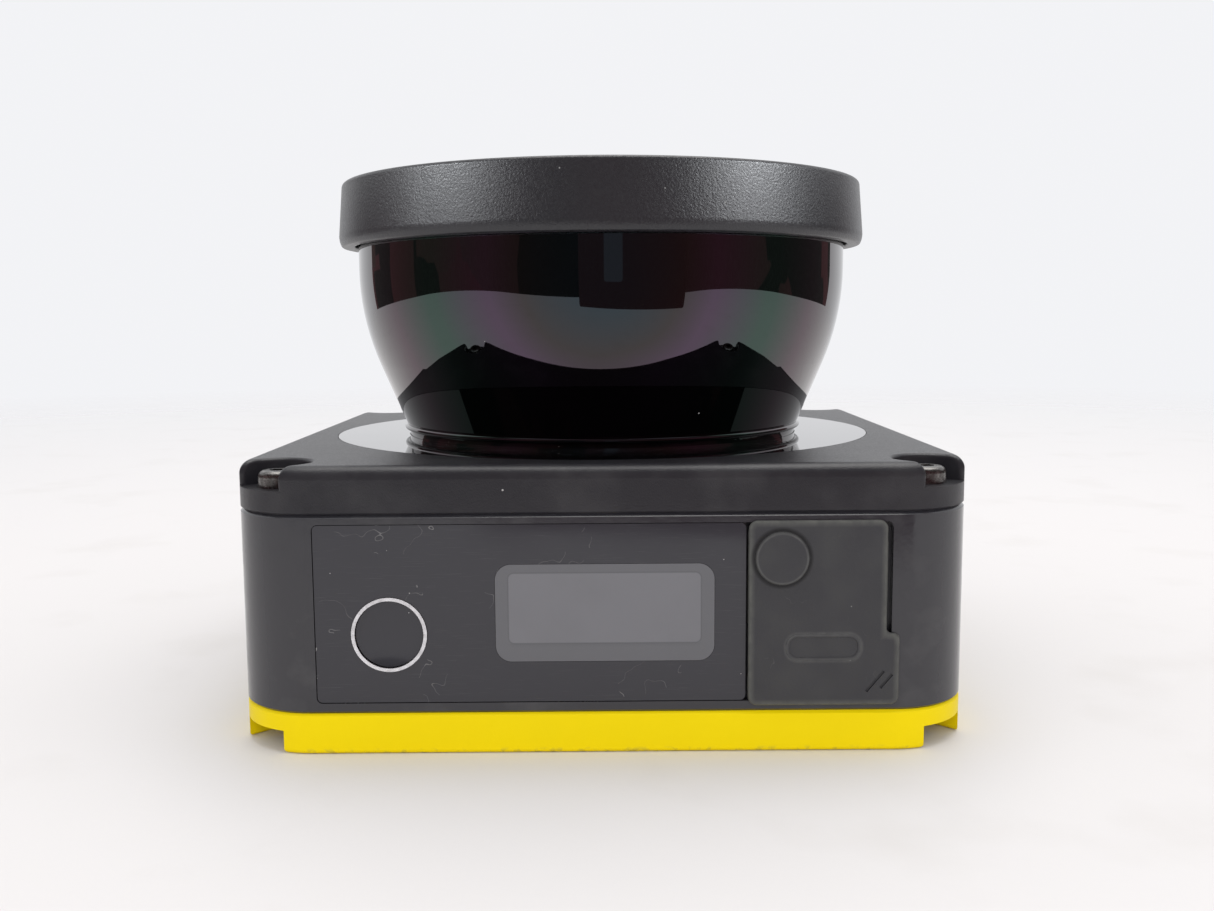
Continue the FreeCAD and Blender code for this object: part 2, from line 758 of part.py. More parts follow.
def make_display_panel():
    return box(window_x - display_w / 2, window_x + display_w / 2, front_inner + seat_gap, front_board_y,
               window_z - display_h / 2, window_z + display_h / 2)


def make_front_board():
    board = box(-front_board_half, front_board_half, front_board_y, front_board_y + front_board_t,
                front_board_z0, front_board_z1)
    for x, z in pillars:
        board = board.cut(rod_y(board_screw_r + seat_gap, x, z, front_board_y, front_board_y + front_board_t))
    screw = rotated(board_screw(front_board_t + front_board_gap - hole_spare), -90, (1, 0, 0))
    screws = []
    for x, z in pillars:
        copy = screw.copy()
        copy.translate(FreeCAD.Vector(x, front_board_y + front_board_t, z))
        screws.append(copy)
    return board, group(screws)


def make_button_ring():
    return rod_y(button_ring_r, button_x, button_z, face_y - button_ring_proud, recess_y).cut(
        rod_y(button_ring_r - button_ring_w, button_x, button_z, face_y - button_ring_proud, recess_y))


def make_button_cap():
    """Dished cap with a collar behind the wall and a pusher on the switch."""
    cap_out_r = button_ring_r - button_ring_w - slide_gap
    front = -half + button_front
    collar_y = front_inner + seat_gap
    cap = rod_y(cap_out_r, button_x, button_z, front, collar_y)
    dish_r = (cap_out_r ** 2 + button_dish ** 2) / (2 * button_dish)
    cap = cap.cut(Part.makeSphere(dish_r, FreeCAD.Vector(button_x, front + button_dish - dish_r, button_z)))
    collar = rod_y(cap_out_r + button_collar_w, button_x, button_z, collar_y, collar_y + button_collar_t)
    pusher = rod_y(plunger_r, button_x, button_z, collar_y + button_collar_t,
                   collar_y + button_collar_t + pusher_l)
    return fused([cap, collar, pusher])


def make_switch():
    plunger_y = front_inner + seat_gap + button_collar_t + pusher_l
    body_y = plunger_y + button_travel + slide_gap
    body = box(button_x - switch_w / 2, button_x + switch_w / 2, body_y, front_board_y,
               button_z - switch_w / 2, button_z + switch_w / 2)
    bore_depth = plunger_sunk + button_travel + swing_gap
    body = body.cut(rod_y(plunger_r + slide_gap, button_x, button_z, body_y, body_y + bore_depth))
    return body, rod_y(plunger_r, button_x, button_z, plunger_y, body_y + plunger_sunk)


# ================================================================ socket and flap

def hinge_side(moving):
    """Large block on one side of the bending line, half the hinge gap away from it."""
    reach = side
    near = hinge_gap / 2
    block = box(near, reach, -side, side, -reach, reach) if moving else \
        box(-reach, -near, -side, side, -reach, reach)
    block = rotated(block, 45, (0, 1, 0))
    block.translate(FreeCAD.Vector(hinge_offset, 0, 0))
    return block


def flap_sheet():
    """The whole rubber cover: a thin lip over the housing's face and a body inside the recess."""
    outline = [(flap_x0, flap_z0), (tab_x1, flap_z0), (tab_x1, tab_z1), (flap_x1, tab_z1),
               (flap_x1, flap_z1), (flap_x0, flap_z1)]
    radii = [flap_r, flap_r, (tab_x1 - flap_x1) * 0.45, (tab_x1 - flap_x1) * 0.45, flap_r, flap_r]
    lip = front_slab(outline, radii, flap_front, flap_front + flap_lip)
    inside = front_panel(flap_x0, panel_half - flap_inset, panel_z0 + flap_inset, panel_z1 - flap_inset,
                         flap_r, flap_front + flap_lip, flap_front + flap_body)
    return fused([lip, inside])


def make_usb_flap():
    sheet = flap_sheet().common(hinge_side(True))
    plug = centred_panel(socket_x, socket_z, well_w - 2 * plug_gap, well_h - 2 * plug_gap,
                         well_h / 2 - plug_gap - seat_gap, flap_front + flap_body, recess_y + plug_depth)
    grooves = []
    for step in (-0.5, 0.5):
        groove = box(-grip_w / 2, grip_w / 2, flap_front, flap_front + grip_depth, -grip_l / 2, grip_l / 2)
        groove = rotated(groove, 40, (0, 1, 0))
        groove.translate(FreeCAD.Vector(grip_x + step * grip_pitch, 0, grip_z))
        grooves.append(groove)
    return fused([sheet, plug]).cut(Part.makeCompound(grooves))


def make_flap_anchor():
    sheet = flap_sheet().common(hinge_side(False))
    knob = rod_y(knob_r, knob_x, knob_z, flap_front - knob_h, flap_front)
    knob = knob.makeFillet(knob_h * 0.7, edges_at(knob, lambda p: abs(p.y - flap_front + knob_h) < 1e-6))
    stem = rod_y(stem_r, knob_x, knob_z, flap_front + flap_body, front_inner)
    head = rod_y(stem_head_r, knob_x, knob_z, front_inner, front_inner + stem_head_t)
    return fused([sheet, knob, stem, head])


def make_usb_socket():
    """Receptacle on the front board; its mouth ends flush with the inside of the wall."""
    corner = socket_h / 2 - seat_gap
    shell = centred_panel(socket_x, socket_z, socket_w, socket_h, corner, front_inner, front_board_y)
    mouth_back = front_board_y - tongue_back
    shell = shell.cut(centred_panel(socket_x, socket_z, socket_w - 2 * socket_wall, socket_h - 2 * socket_wall,
                                    corner - socket_wall, front_inner, mouth_back))
    tongue = centred_panel(socket_x, socket_z, socket_w - 8 * socket_wall, tongue_t, tongue_t / 3,
                           front_inner + tongue_back, mouth_back)
    return shell, tongue


# ================================================================ boards

def make_main_board():
    board = box(-board_half_x, board_half_x, -board_half_y, board_half_y, board_z, board_top)
    for x, y in four_corners(board_boss_x, board_boss_y):
        board = board.cut(rod(board_screw_r + seat_gap, board_z, board_top, x, y))
    screw = board_screw(board_screw_length)
    return board, set_down(screw, four_corners(board_boss_x, board_boss_y), board_top)


def make_board_parts():
    """Low chips and flat capacitors, clear of the lens barrel above."""
    chips = [box(x, x + w, y, y + d, board_top, board_top + h)
             for x, y, w, d, h in ((-32, -31, 13, 13, 1.4), (-14, -31, 10, 8, 1.1), (2, -30, 8, 6, 1.1),
                                   (-35, 22, 9, 9, 1.3), (-20, 24, 6, 5, 1.2), (12, 24, 16, 7, 1.8),
                                   (25, -6, 5, 12, 1.1), (-31, -6, 6, 6, 1.2))]
    cans = set_down(rod(2.4, 0, 2.2), [(18, -28), (25, -28), (32, -26), (34, -6.5)], board_top)
    return group(chips), cans


# ================================================================ scan head, fixed side

def make_chassis():
    """Deck on four ears with the bearing sleeve standing on it."""
    parts = [rod(chassis_r, chassis_z, chassis_top)]
    for x, y in four_corners(chassis_ear_x, chassis_ear_y):
        parts.append(rod(chassis_ear_r, chassis_z, chassis_top, x, y))
        parts.append(box(min(0, x), max(0, x), y - chassis_ear_r, y + chassis_ear_r, chassis_z, chassis_top))
    parts.append(rod(sleeve_r, chassis_z, sleeve_top))
    deck = fused(parts)
    rear = bay_inner_y - shell_tail_l - swing_gap
    front = front_board_y + front_board_t + board_screw_head_h + swing_gap
    cuts = [box(-side, side, rear, side, chassis_z, chassis_top),
            box(-side, side, -side, front, chassis_z, chassis_top),
            rod(barrel_r + seat_gap, chassis_z, chassis_top), rod(bearing_out_r, bearing_z, sleeve_top),
            rod(bearing_out_r - ring_w, chassis_top - 0.5, bearing_z)]
    cuts += [rod(chassis_screw_r + seat_gap, chassis_z, chassis_top, x, y)
             for x, y in four_corners(chassis_ear_x, chassis_ear_y)]
    screw = cap_screw(chassis_screw_r, chassis_screw_head_r, chassis_screw_head_h, chassis_screw_round,
                      chassis_screw_key, chassis_screw_key_depth, chassis_screw_length)
    return deck.cut(Part.makeCompound(cuts)), set_down(screw, four_corners(chassis_ear_x, chassis_ear_y),
                                                       chassis_top)


def make_bearings():
    """Two thin bearings: fixed outer rings, turning inner rings and the balls between."""
    pitch_r = hub_r + bearing_w / 2
    outers, inners, balls = [], [], []
    for z in (bearing_z, bearing_z + bearing_pitch):
        middle = z + bearing_h / 2
        groove = Part.makeTorus(pitch_r, ball_r + groove_gap, FreeCAD.Vector(0, 0, middle))
        outers.append(tube(bearing_out_r - ring_w, bearing_out_r, z, z + bearing_h).cut(groove))
        inners.append(tube(hub_r, hub_r + ring_w, z, z + bearing_h).cut(groove))
        for i in range(ball_count):
            angle = math.radians(360.0 / ball_count * i)
            balls.append(Part.makeSphere(ball_r, FreeCAD.Vector(pitch_r * math.cos(angle),
                                                                pitch_r * math.sin(angle), middle)))
    return group(outers), group(inners), group(balls)


def make_stator():
    """Laminated star on the sleeve with one coil round each tooth."""
    yoke = tube(sleeve_r, sleeve_r + yoke_w, stator_z, stator_z + stator_h)
    tooth = box(sleeve_r + yoke_w / 2, stator_out_r, -tooth_w / 2, tooth_w / 2, stator_z, stator_z + stator_h)
    shoe = box(stator_out_r - 2 * shoe_h, stator_out_r, -shoe_w / 2, shoe_w / 2, stator_z, stator_z + stator_h)
    shoe = shoe.common(tube(stator_out_r - shoe_h, stator_out_r, stator_z, stator_z + stator_h))
    tooth = tooth.common(rod(stator_out_r, stator_z, stator_z + stator_h))
    arms, coils = [yoke], []
    coil = box(sleeve_r + yoke_w + 0.3, stator_out_r - shoe_h - 0.3, -coil_w / 2, coil_w / 2,
               stator_z - coil_over, stator_z + stator_h + coil_over)
    coil = coil.cut(box(0, stator_out_r, -tooth_w / 2, tooth_w / 2, stator_z, stator_z + stator_h))
    for i in range(tooth_count):
        angle = 360.0 / tooth_count * i
        arms += [rotated(tooth, angle), rotated(shoe, angle)]
        coils.append(rotated(coil, angle))
    return fused(arms), group(coils)


def make_lens_barrel():
    bore = barrel_bore_r
    shell = fused([rod(barrel_r, barrel_z, barrel_top), rod(barrel_flange_r, barrel_z, chassis_z)])
    shell = shell.cut(rod(bore, barrel_z + barrel_floor_t, barrel_top))
    shell = shell.cut(rod(barrel_floor_bore_r, barrel_z, barrel_z + barrel_floor_t))
    return fused([shell, tube(bore - lens_seat_w, bore, lens_seat_z - lens_seat_t, lens_seat_z)])


def make_receiver_lens():
    """Plano-convex lens with a central hole for the laser tube."""
    r = barrel_bore_r - seat_gap
    top = lens_seat_z + lens_edge_t
    ball = (r ** 2 + lens_bulge ** 2) / (2 * lens_bulge)
    dome = Part.makeSphere(ball, FreeCAD.Vector(0, 0, top + lens_bulge - ball))
    lens = fused([rod(r, lens_seat_z, top), dome.common(rod(r, top, top + lens_bulge + 1))])
    return lens.cut(rod(laser_r + thread_gap, lens_seat_z, top + lens_bulge + 1))


def make_laser():
    inner = laser_r - laser_wall
    body = rod(laser_r, laser_z, laser_top).cut(rod(inner - laser_wall, laser_z, laser_top))
    body = body.cut(rod(inner, laser_z, laser_z + laser_diode_h))
    body = body.cut(rod(inner, laser_top - laser_lens_t, laser_top))
    diode = rod(inner, laser_z, laser_z + laser_diode_h)
    return body, diode, rod(inner, laser_top - laser_lens_t, laser_top)


def make_detector():
    z = barrel_z + barrel_floor_t
    board = rod(barrel_bore_r - seat_gap, z, z + detector_board_t)
    return board, rod(detector_r, z + detector_board_t, z + detector_board_t + detector_h)


def make_encoder_sensor():
    """Fork over the edge of the encoder disc on a post from the deck."""
    inner = disc_r - sensor_reach
    slot_z0, slot_z1 = disc_z - sensor_slot_gap, disc_z + disc_t + sensor_slot_gap
    block = box(inner, sensor_out_r, -sensor_w / 2, sensor_w / 2, slot_z0 - sensor_jaw, slot_z1 + sensor_jaw)
    block = block.cut(box(inner, disc_r + sensor_edge_gap, -sensor_w / 2, sensor_w / 2, slot_z0, slot_z1))
    post = box(bell_r + sensor_post_gap, sensor_out_r, -sensor_w / 2, sensor_w / 2, chassis_top,
               slot_z0 - sensor_jaw)
    return rotated(fused([block, post]), sensor_angle)


# ================================================================ scan head, turning side

def make_rotor_hub():
    """Hollow shaft with a shoulder on the upper bearing and the mounting flange above."""
    hub = fused([rod(hub_r, bearing_z, flange_top), rod(hub_flange_r, flange_z, flange_top),
                 rod(hub_r + ring_w - 0.1, bearing_top, flange_z)])
    return hub.cut(rod(hub_bore_r, bearing_z, flange_top))


def make_rotor_bell():
    bell = rod(bell_r, bell_z, flange_z).cut(rod(bell_in_r, bell_z, web_z))
    return bell.cut(rod(hub_r + ring_w, web_z, flange_z))


def make_rotor_magnets():
    ring = tube(magnet_in_r, bell_in_r, stator_z, stator_z + stator_h)
    gaps = []
    for i in range(magnet_count):
        gap = box(0, bell_r, -magnet_gap / 2, magnet_gap / 2, stator_z, stator_z + stator_h)
        gaps.append(rotated(gap, 360.0 / magnet_count * i))
    return group([ring.cut(Part.makeCompound(gaps))])


def make_encoder_disc():
    disc = tube(hub_bore_r + 1.0, disc_r, disc_z, disc_z + disc_t)
    slits = []
    for i in range(slit_count):
        slit = box(disc_r - 0.4 - slit_l, disc_r - 0.4, -slit_w / 2, slit_w / 2, disc_z, disc_z + disc_t)
        slits.append(rotated(slit, 360.0 / slit_count * i))
    return disc.cut(Part.makeCompound(slits))


def mirror_plate(w, l, behind, t):
    """Plate at 45 degrees behind the mirror face, which looks down and to the front."""
    plate = box(-w / 2, w / 2, -l / 2, l / 2, behind, behind + t)
    plate = rotated(plate, -45, (1, 0, 0))
    plate.translate(FreeCAD.Vector(0, 0, mirror_z))
    return plate


def make_mirror_holder():
    base = tube(hub_bore_r + holder_gap, holder_base_r, holder_z, holder_top)
    reach = mirror_l / 2 / math.sqrt(2)
    back = (mirror_t + mirror_back_t) / math.sqrt(2)
    inner = mirror_w / 2
    outline = [(cheek_front, holder_z), (cheek_rear, holder_z), (reach + back, mirror_z - reach + back),
               (-reach + back, mirror_z + reach + back), (-reach, mirror_z + reach - 1.5)]
    cheeks = []
    for x in (-inner - cheek_t, inner):
        wire = Part.makePolygon([FreeCAD.Vector(x, y, z) for y, z in outline + outline[:1]])
        cheeks.append(Part.Face(wire).extrude(FreeCAD.Vector(cheek_t, 0, 0)))
    beam = rod(hub_bore_r + holder_gap, holder_z, holder_top)
    return fused([base, mirror_plate(mirror_w, mirror_l, mirror_t, mirror_back_t)] + cheeks).cut(beam)


def make_scan_mirror():
    return mirror_plate(mirror_w, mirror_l, 0, mirror_t)


def make_balance_weight():
    ring = tube(weight_in_r, holder_base_r, holder_top, holder_top + weight_h)
    keep = [rotated(box(0, side, 0, side, holder_top, holder_top + weight_h), angle)
            for angle in (-90 - weight_arc / 2, -90 + weight_arc / 2 - 90)]
    return group([ring.common(fused(keep)).cut(box(-mirror_w / 2 - cheek_t - 0.2, mirror_w / 2 + cheek_t + 0.2,
                                                   cheek_front - 0.2, side, 0, side))])


# ================================================================ rear connectors

def make_connectors():
    """Two round plugs with threaded shells, sealed against the bay's rear wall."""
    shells, inserts, pins, nuts, seals = [], [], [], [], []
    for x in (-plug_pitch / 2, plug_pitch / 2):
        stud_end = bay_y + shell_flange_t + stud_l
        shell = fused([rod_y(stud_r, x, plug_z, bay_inner_y - shell_tail_l, stud_end),
                       rod_y(shell_flange_r, x, plug_z, bay_y, bay_y + shell_flange_t)])
        shell = shell.makeChamfer(stud_chamfer, edges_at(shell, lambda p: abs(p.y - stud_end) < 1e-6))
        bore_y = stud_end - stud_bore_l
        shell = shell.cut(rod_y(stud_bore_r, x, plug_z, bore_y, stud_end))
        groove_r = stud_r + seal_w
        seal = rod_y(groove_r, x, plug_z, bay_y, bay_y + seal_depth).cut(
            rod_y(stud_r, x, plug_z, bay_y, bay_y + seal_depth))
        shells.append(shell.cut(seal))
        seals.append(seal)
        inserts.append(rod_y(stud_bore_r, x, plug_z, bore_y, bore_y + insert_t))
        for i in range(pin_count):
            angle = 2 * math.pi * (i + 0.5) / pin_count
            pins.append(rod_y(pin_r, x + pin_circle_r * math.cos(angle), plug_z + pin_circle_r * math.sin(angle),
                              bore_y + insert_t, bore_y + insert_t + pin_l))
        corners = [FreeCAD.Vector(x + nut_r * math.cos(math.radians(60 * i)), bay_inner_y - nut_t,
                                  plug_z + nut_r * math.sin(math.radians(60 * i))) for i in range(6)]
        nut = Part.Face(Part.makePolygon(corners + corners[:1])).extrude(FreeCAD.Vector(0, nut_t, 0))
        nuts.append(nut.cut(rod_y(stud_r + thread_gap, x, plug_z, bay_inner_y - nut_t, bay_inner_y)))
    return [group(pieces) for pieces in (shells, inserts, pins, nuts, seals)]


# ================================================================ build

def main():
    nodes = {}
    nodes["base_plate"] = make_base_plate()
    nodes["base_gasket"] = gasket(plate_top - gasket_h)
    nodes["thread_inserts"] = make_thread_inserts()
    nodes["base_screws"], nodes["cover_screws"] = make_corner_screws()
    nodes["housing"] = make_housing()
    nodes["cover_gasket"] = gasket(housing_top - gasket_h)
    nodes["top_cover"] = make_top_cover()
    nodes["light_ring"] = make_light_ring()
    nodes["status_board"], nodes["status_leds"] = make_status_board()
    nodes["optics_hood"] = make_optics_hood()
    nodes["hood_seal"] = make_hood_seal()
    nodes["hood_cap"] = make_hood_cap()
    nodes["cap_seal"] = make_cap_seal()

    nodes["faceplate"] = make_faceplate()
    nodes["display_window"] = make_display_window()
    nodes["display_panel"] = make_display_panel()
    nodes["front_board"], nodes["front_board_screws"] = make_front_board()
    nodes["button_ring"] = make_button_ring()
    nodes["button_cap"] = make_button_cap()
    nodes["switch_body"], nodes["switch_plunger"] = make_switch()
    nodes["usb_flap"] = make_usb_flap()
    nodes["flap_anchor"] = make_flap_anchor()
    nodes["usb_socket"], nodes["usb_tongue"] = make_usb_socket()

    nodes["main_board"], nodes["board_screws"] = make_main_board()
    nodes["board_chips"], nodes["board_capacitors"] = make_board_parts()

    nodes["chassis"], nodes["chassis_screws"] = make_chassis()
    nodes["bearing_outer_rings"], nodes["bearing_inner_rings"], nodes["bearing_balls"] = make_bearings()
    nodes["stator_core"], nodes["stator_coils"] = make_stator()
    nodes["lens_barrel"] = make_lens_barrel()
    nodes["receiver_lens"] = make_receiver_lens()
    nodes["laser_tube"], nodes["laser_diode"], nodes["laser_lens"] = make_laser()
    nodes["detector_board"], nodes["detector_can"] = make_detector()
    nodes["encoder_sensor"] = make_encoder_sensor()

    nodes["rotor_hub"] = make_rotor_hub()
    nodes["rotor_bell"] = make_rotor_bell()
    nodes["rotor_magnets"] = make_rotor_magnets()
    nodes["encoder_disc"] = make_encoder_disc()
    nodes["mirror_holder"] = make_mirror_holder()
    nodes["scan_mirror"] = make_scan_mirror()
    nodes["balance_weight"] = make_balance_weight()

    names = ("shells", "inserts", "pins", "nuts", "seals")
    for name, shape in zip(names, make_connectors()):
        nodes["connector_" + name] = shape

    os.makedirs("parts", exist_ok=True)
    for name, shape in nodes.items():
        print(name, len(shape.Solids), round(shape.Volume, 1), shape.isValid())
        shape.exportStep("parts/" + name + ".step")


main()
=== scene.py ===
import math

import bmesh
import bpy
from mathutils import Matrix, Vector


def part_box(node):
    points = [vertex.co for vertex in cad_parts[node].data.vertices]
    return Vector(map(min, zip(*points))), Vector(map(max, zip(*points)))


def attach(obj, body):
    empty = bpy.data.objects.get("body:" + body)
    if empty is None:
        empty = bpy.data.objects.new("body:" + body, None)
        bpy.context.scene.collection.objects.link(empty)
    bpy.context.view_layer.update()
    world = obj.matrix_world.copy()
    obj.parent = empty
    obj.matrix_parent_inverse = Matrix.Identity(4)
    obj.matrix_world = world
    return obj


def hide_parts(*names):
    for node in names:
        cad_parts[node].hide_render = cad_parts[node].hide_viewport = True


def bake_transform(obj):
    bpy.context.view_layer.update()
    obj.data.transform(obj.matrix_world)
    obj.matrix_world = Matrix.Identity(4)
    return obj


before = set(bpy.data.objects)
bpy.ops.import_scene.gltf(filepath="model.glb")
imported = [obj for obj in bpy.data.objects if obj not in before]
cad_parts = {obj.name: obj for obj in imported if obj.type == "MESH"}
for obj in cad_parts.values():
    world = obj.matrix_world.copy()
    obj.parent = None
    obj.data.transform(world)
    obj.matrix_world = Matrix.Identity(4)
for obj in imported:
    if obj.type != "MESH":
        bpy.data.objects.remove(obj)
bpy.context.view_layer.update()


# ================================================================ camera
# A hand-held camera 155 mm in front of the scanner's face, with its lens at the height of the hood.
# It is tipped down at the display, and sits a hair out of level.
camera_place = (0.000375, -0.20526, 0.0583)
heading, pitch, roll = math.radians(-0.107), math.radians(6.62), math.radians(-0.389)
camera_data = bpy.data.cameras.new("camera")
camera_data.lens = 35.25
camera_data.sensor_width = 36.0
camera_data.clip_start = 0.005
camera = bpy.data.objects.new("camera", camera_data)
camera.location = camera_place
camera.rotation_euler = (Matrix.Rotation(heading, 3, "Z") @ Matrix.Rotation(math.pi / 2 - pitch, 3, "X")
                         @ Matrix.Rotation(roll, 3, "Z")).to_euler()
bpy.context.scene.collection.objects.link(camera)
bpy.context.scene.camera = camera
bpy.context.scene.view_settings.view_transform = "Standard"


# ================================================================ light
# Even daylight from all round, a broad and slightly warm ceiling lamp, and the weak glow of the room
# behind the camera. The glow lights the front, but no gloss surface mirrors it.
world = bpy.data.worlds.new("daylight")
world.use_nodes = True
daylight = world.node_tree.nodes["Background"]
daylight.inputs["Color"].default_value = (0.97, 0.975, 1.0, 1.0)
daylight.inputs["Strength"].default_value = 0.92
bpy.context.scene.world = world


def lamp(name, size, power, place, aim, colour=(1.0, 1.0, 1.0)):
    """Square soft lamp at a place, turned to face a point."""
    light = bpy.data.lights.new(name, "AREA")
    light.size = size
    light.energy = power
    light.color = colour
    holder = bpy.data.objects.new(name, light)
    holder.location = place
    holder.rotation_euler = (Vector(aim) - Vector(place)).to_track_quat("-Z", "Y").to_euler()
    bpy.context.scene.collection.objects.link(holder)
    return holder


lamp("ceiling_lamp", 0.9, 7.2, (0.1, 0.15, 1.1), (0, 0, 0), (1.0, 0.98, 0.95))
room_glow = lamp("room_glow", 0.5, 2.0, (0.0, -0.9, 0.35), (0, 0, 0.03))
room_glow.visible_glossy = False


# ================================================================ paper
# A sheet of white paper that the scanner stands on, a little smudged and not quite flat. It fades into
# the daylight around it, so that no edge shows.
def begin(name, add, scale=(1.0, 1.0, 1.0), **where):
    """A new primitive under that name, its place applied to its mesh, open in edit mode with all selected."""
    bpy.ops.object.select_all(action="DESELECT")
    add(**where)
    piece = bpy.context.object
    piece.name = name
    piece.scale = scale
    bpy.ops.object.transform_apply(location=True, rotation=True, scale=True)
    bpy.ops.object.mode_set(mode="EDIT")
    bpy.ops.mesh.select_all(action="SELECT")
    return piece


class Signal:
    """A value that varies over a surface. Arithmetic and comparison on it add Math nodes."""

    def __init__(self, finish, socket):
        self.finish = finish
        self.socket = socket

    def math(self, operation, first, second=0.0):
        return self.finish.node("ShaderNodeMath", {"operation": operation}, {0: first, 1: second})

    def __add__(self, other):
        return self.math("ADD", self, other)

    def __radd__(self, other):
        return self.math("ADD", other, self)

    def __sub__(self, other):
        return self.math("SUBTRACT", self, other)

    def __rsub__(self, other):
        return self.math("SUBTRACT", other, self)

    def __mul__(self, other):
        return self.math("MULTIPLY", self, other)

    def __rmul__(self, other):
        return self.math("MULTIPLY", other, self)

    def __pow__(self, other):
        return self.math("POWER", self, other)

    def __rpow__(self, other):
        return self.math("POWER", other, self)

    def __gt__(self, other):
        return self.math("GREATER_THAN", self, other)

    def __lt__(self, other):
        return self.math("LESS_THAN", self, other)

    def __abs__(self):
        return self.math("ABSOLUTE", self)

    def at_least(self, other):
        return self.math("MAXIMUM", self, other)

    def at_most(self, other):
        return self.math("MINIMUM", self, other)

    def wave(self):
        return self.math("SINE", self)


class Finish:
    """A surface finish with one Principled shader. Lengths are metres on the piece."""

    def __init__(self, name, colour, roughness, metallic=0.0, **fixed):
        self.material = bpy.data.materials.new(name)
        self.material.use_nodes = True
        self.tree = self.material.node_tree
        self.shader = self.tree.nodes["Principled BSDF"]
        self.colour = (*colour, 1.0)
        self.set("Base Color", self.colour)
        self.set("Roughness", roughness)
        self.set("Metallic", metallic)
        for socket, value in fixed.items():
            self.set(socket.replace("_", " "), value)
        self.place = self.node("ShaderNodeTexCoord", output="Object")

    def set(self, socket, value):
        if isinstance(value, Signal):
            self.tree.links.new(value.socket, self.shader.inputs[socket])
        else:
            self.shader.inputs[socket].default_value = value

    def node(self, kind, settings=None, sockets=None, output=0):
        made = self.tree.nodes.new(kind)
        for setting, value in (settings or {}).items():
            setattr(made, setting, value)
        for socket, value in (sockets or {}).items():
            if isinstance(value, Signal):
                self.tree.links.new(value.socket, made.inputs[socket])
            else:
                made.inputs[socket].default_value = value
        return Signal(self, made.outputs[output])

    def along(self, axis):
        return self.node("ShaderNodeSeparateXYZ", {}, {0: self.place}, axis)

    def stretched(self, scale, turn=(0.0, 0.0, 0.0), shift=(0.0, 0.0, 0.0)):
        return self.node("ShaderNodeMapping", {}, {"Vector": self.place, "Scale": scale, "Rotation": turn,
                                                   "Location": shift})

    def noise(self, size, detail=3.0, roughness=0.5):
        """Cloudy pattern, 0 to 1, with features about that size."""
        return self.node("ShaderNodeTexNoise", {}, {"Vector": self.place, "Scale": 1.0 / size,
                                                    "Detail": detail, "Roughness": roughness})

    def tooled(self, across, along):
        """Fine rings from a lathe, that many to the metre across and along the turned axis."""
        return self.node("ShaderNodeTexNoise", {}, {"Vector": self.stretched((across, across, along)),
                                                    "Scale": 1.0})

    def specks(self, spacing, share, largest=0.16, shift=(0.0, 0.0, 0.0)):
        """Dots, 1 on a dot, in that share of cells; largest is a fraction of the spacing."""
        cell = {"Vector": self.stretched((1.0, 1.0, 1.0), shift=shift), "Scale": 1.0 / spacing}
        distance = self.node("ShaderNodeTexVoronoi", {}, cell, "Distance")
        lot = self.node("ShaderNodeTexVoronoi", {}, cell, "Color")
        chance = self.node("ShaderNodeSeparateColor", {}, {0: lot}, 0)
        size = self.node("ShaderNodeSeparateColor", {}, {0: lot}, 1)
        return (distance < size * size * largest + largest * 0.12) * (chance < share)

    def hairs(self, bend, width, share):
        """Thin curved lines, 1 on a line, in that share of the surface."""
        contour = abs(self.noise(bend, 1.0) - 0.5) < width
        patch = self.node("ShaderNodeTexNoise", {}, {
            "Vector": self.stretched((1.0, 1.0, 1.0), shift=(3.1, 1.7, 2.3)),
            "Scale": 0.5 / bend, "Detail": 0.0})
        return contour * (patch > 1.0 - share)

    def scratches(self, width, length, turn, share):
        """Straight fine lines, 1 on a line."""
        long = self.node("ShaderNodeTexNoise", {}, {
            "Vector": self.stretched((1.0 / length, 1.0 / length, 1.0 / width), turn),
            "Scale": 1.0, "Detail": 1.0})
        return self.ramp(long, 1.0 - share, 1.0 - share + 0.02, 0.0, 1.0)

    def ramp(self, signal, low, high, first, second):
        """The signal from low to high becomes first to second, and stays there outside."""
        return self.node("ShaderNodeMapRange", {}, {"Value": signal, "From Min": low, "From Max": high,
                                                    "To Min": first, "To Max": second})

    def mix(self, factor, first, second):
        return self.node("ShaderNodeMix", {"data_type": "RGBA"}, {0: factor, 6: first, 7: second}, 2)

    def shade(self, factor, light):
        """Base colour times light where factor is 1."""
        return self.mix(factor, self.colour, tuple(min(1.0, c * light) for c in self.colour[:3]) + (1.0,))

    def relief(self, height, depth):
        """Bump whose height of 1 stands that many metres proud."""
        self.set("Normal", self.node("ShaderNodeBump", {}, {"Height": height, "Distance": depth}))

    def area(self, left, right, low, high, corner):
        """Distance outside a round-cornered rectangle on the front, negative inside."""
        dx = abs(self.along("X") - (left + right) / 2) - ((right - left) / 2 - corner)
        dz = abs(self.along("Z") - (low + high) / 2) - ((high - low) / 2 - corner)
        outside = (dx.at_least(0.0) ** 2.0 + dz.at_least(0.0) ** 2.0) ** 0.5
        return outside + dx.at_least(dz).at_most(0.0) - corner

    def reach(self, first, second, middle=(0.0, 0.0)):
        """Distance from a line, seen along the axis that isn't one of the two named."""
        return ((self.along(first) - middle[0]) ** 2.0 + (self.along(second) - middle[1]) ** 2.0) ** 0.5

    def coat(self, *names):
        """Give the finish to whole nodes."""
        for name in names:
            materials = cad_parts[name].data.materials
            materials.clear()
            materials.append(self.material)


paper_sheet = begin("paper_sheet", bpy.ops.mesh.primitive_plane_add, size=4.0)
bpy.ops.object.mode_set(mode="OBJECT")

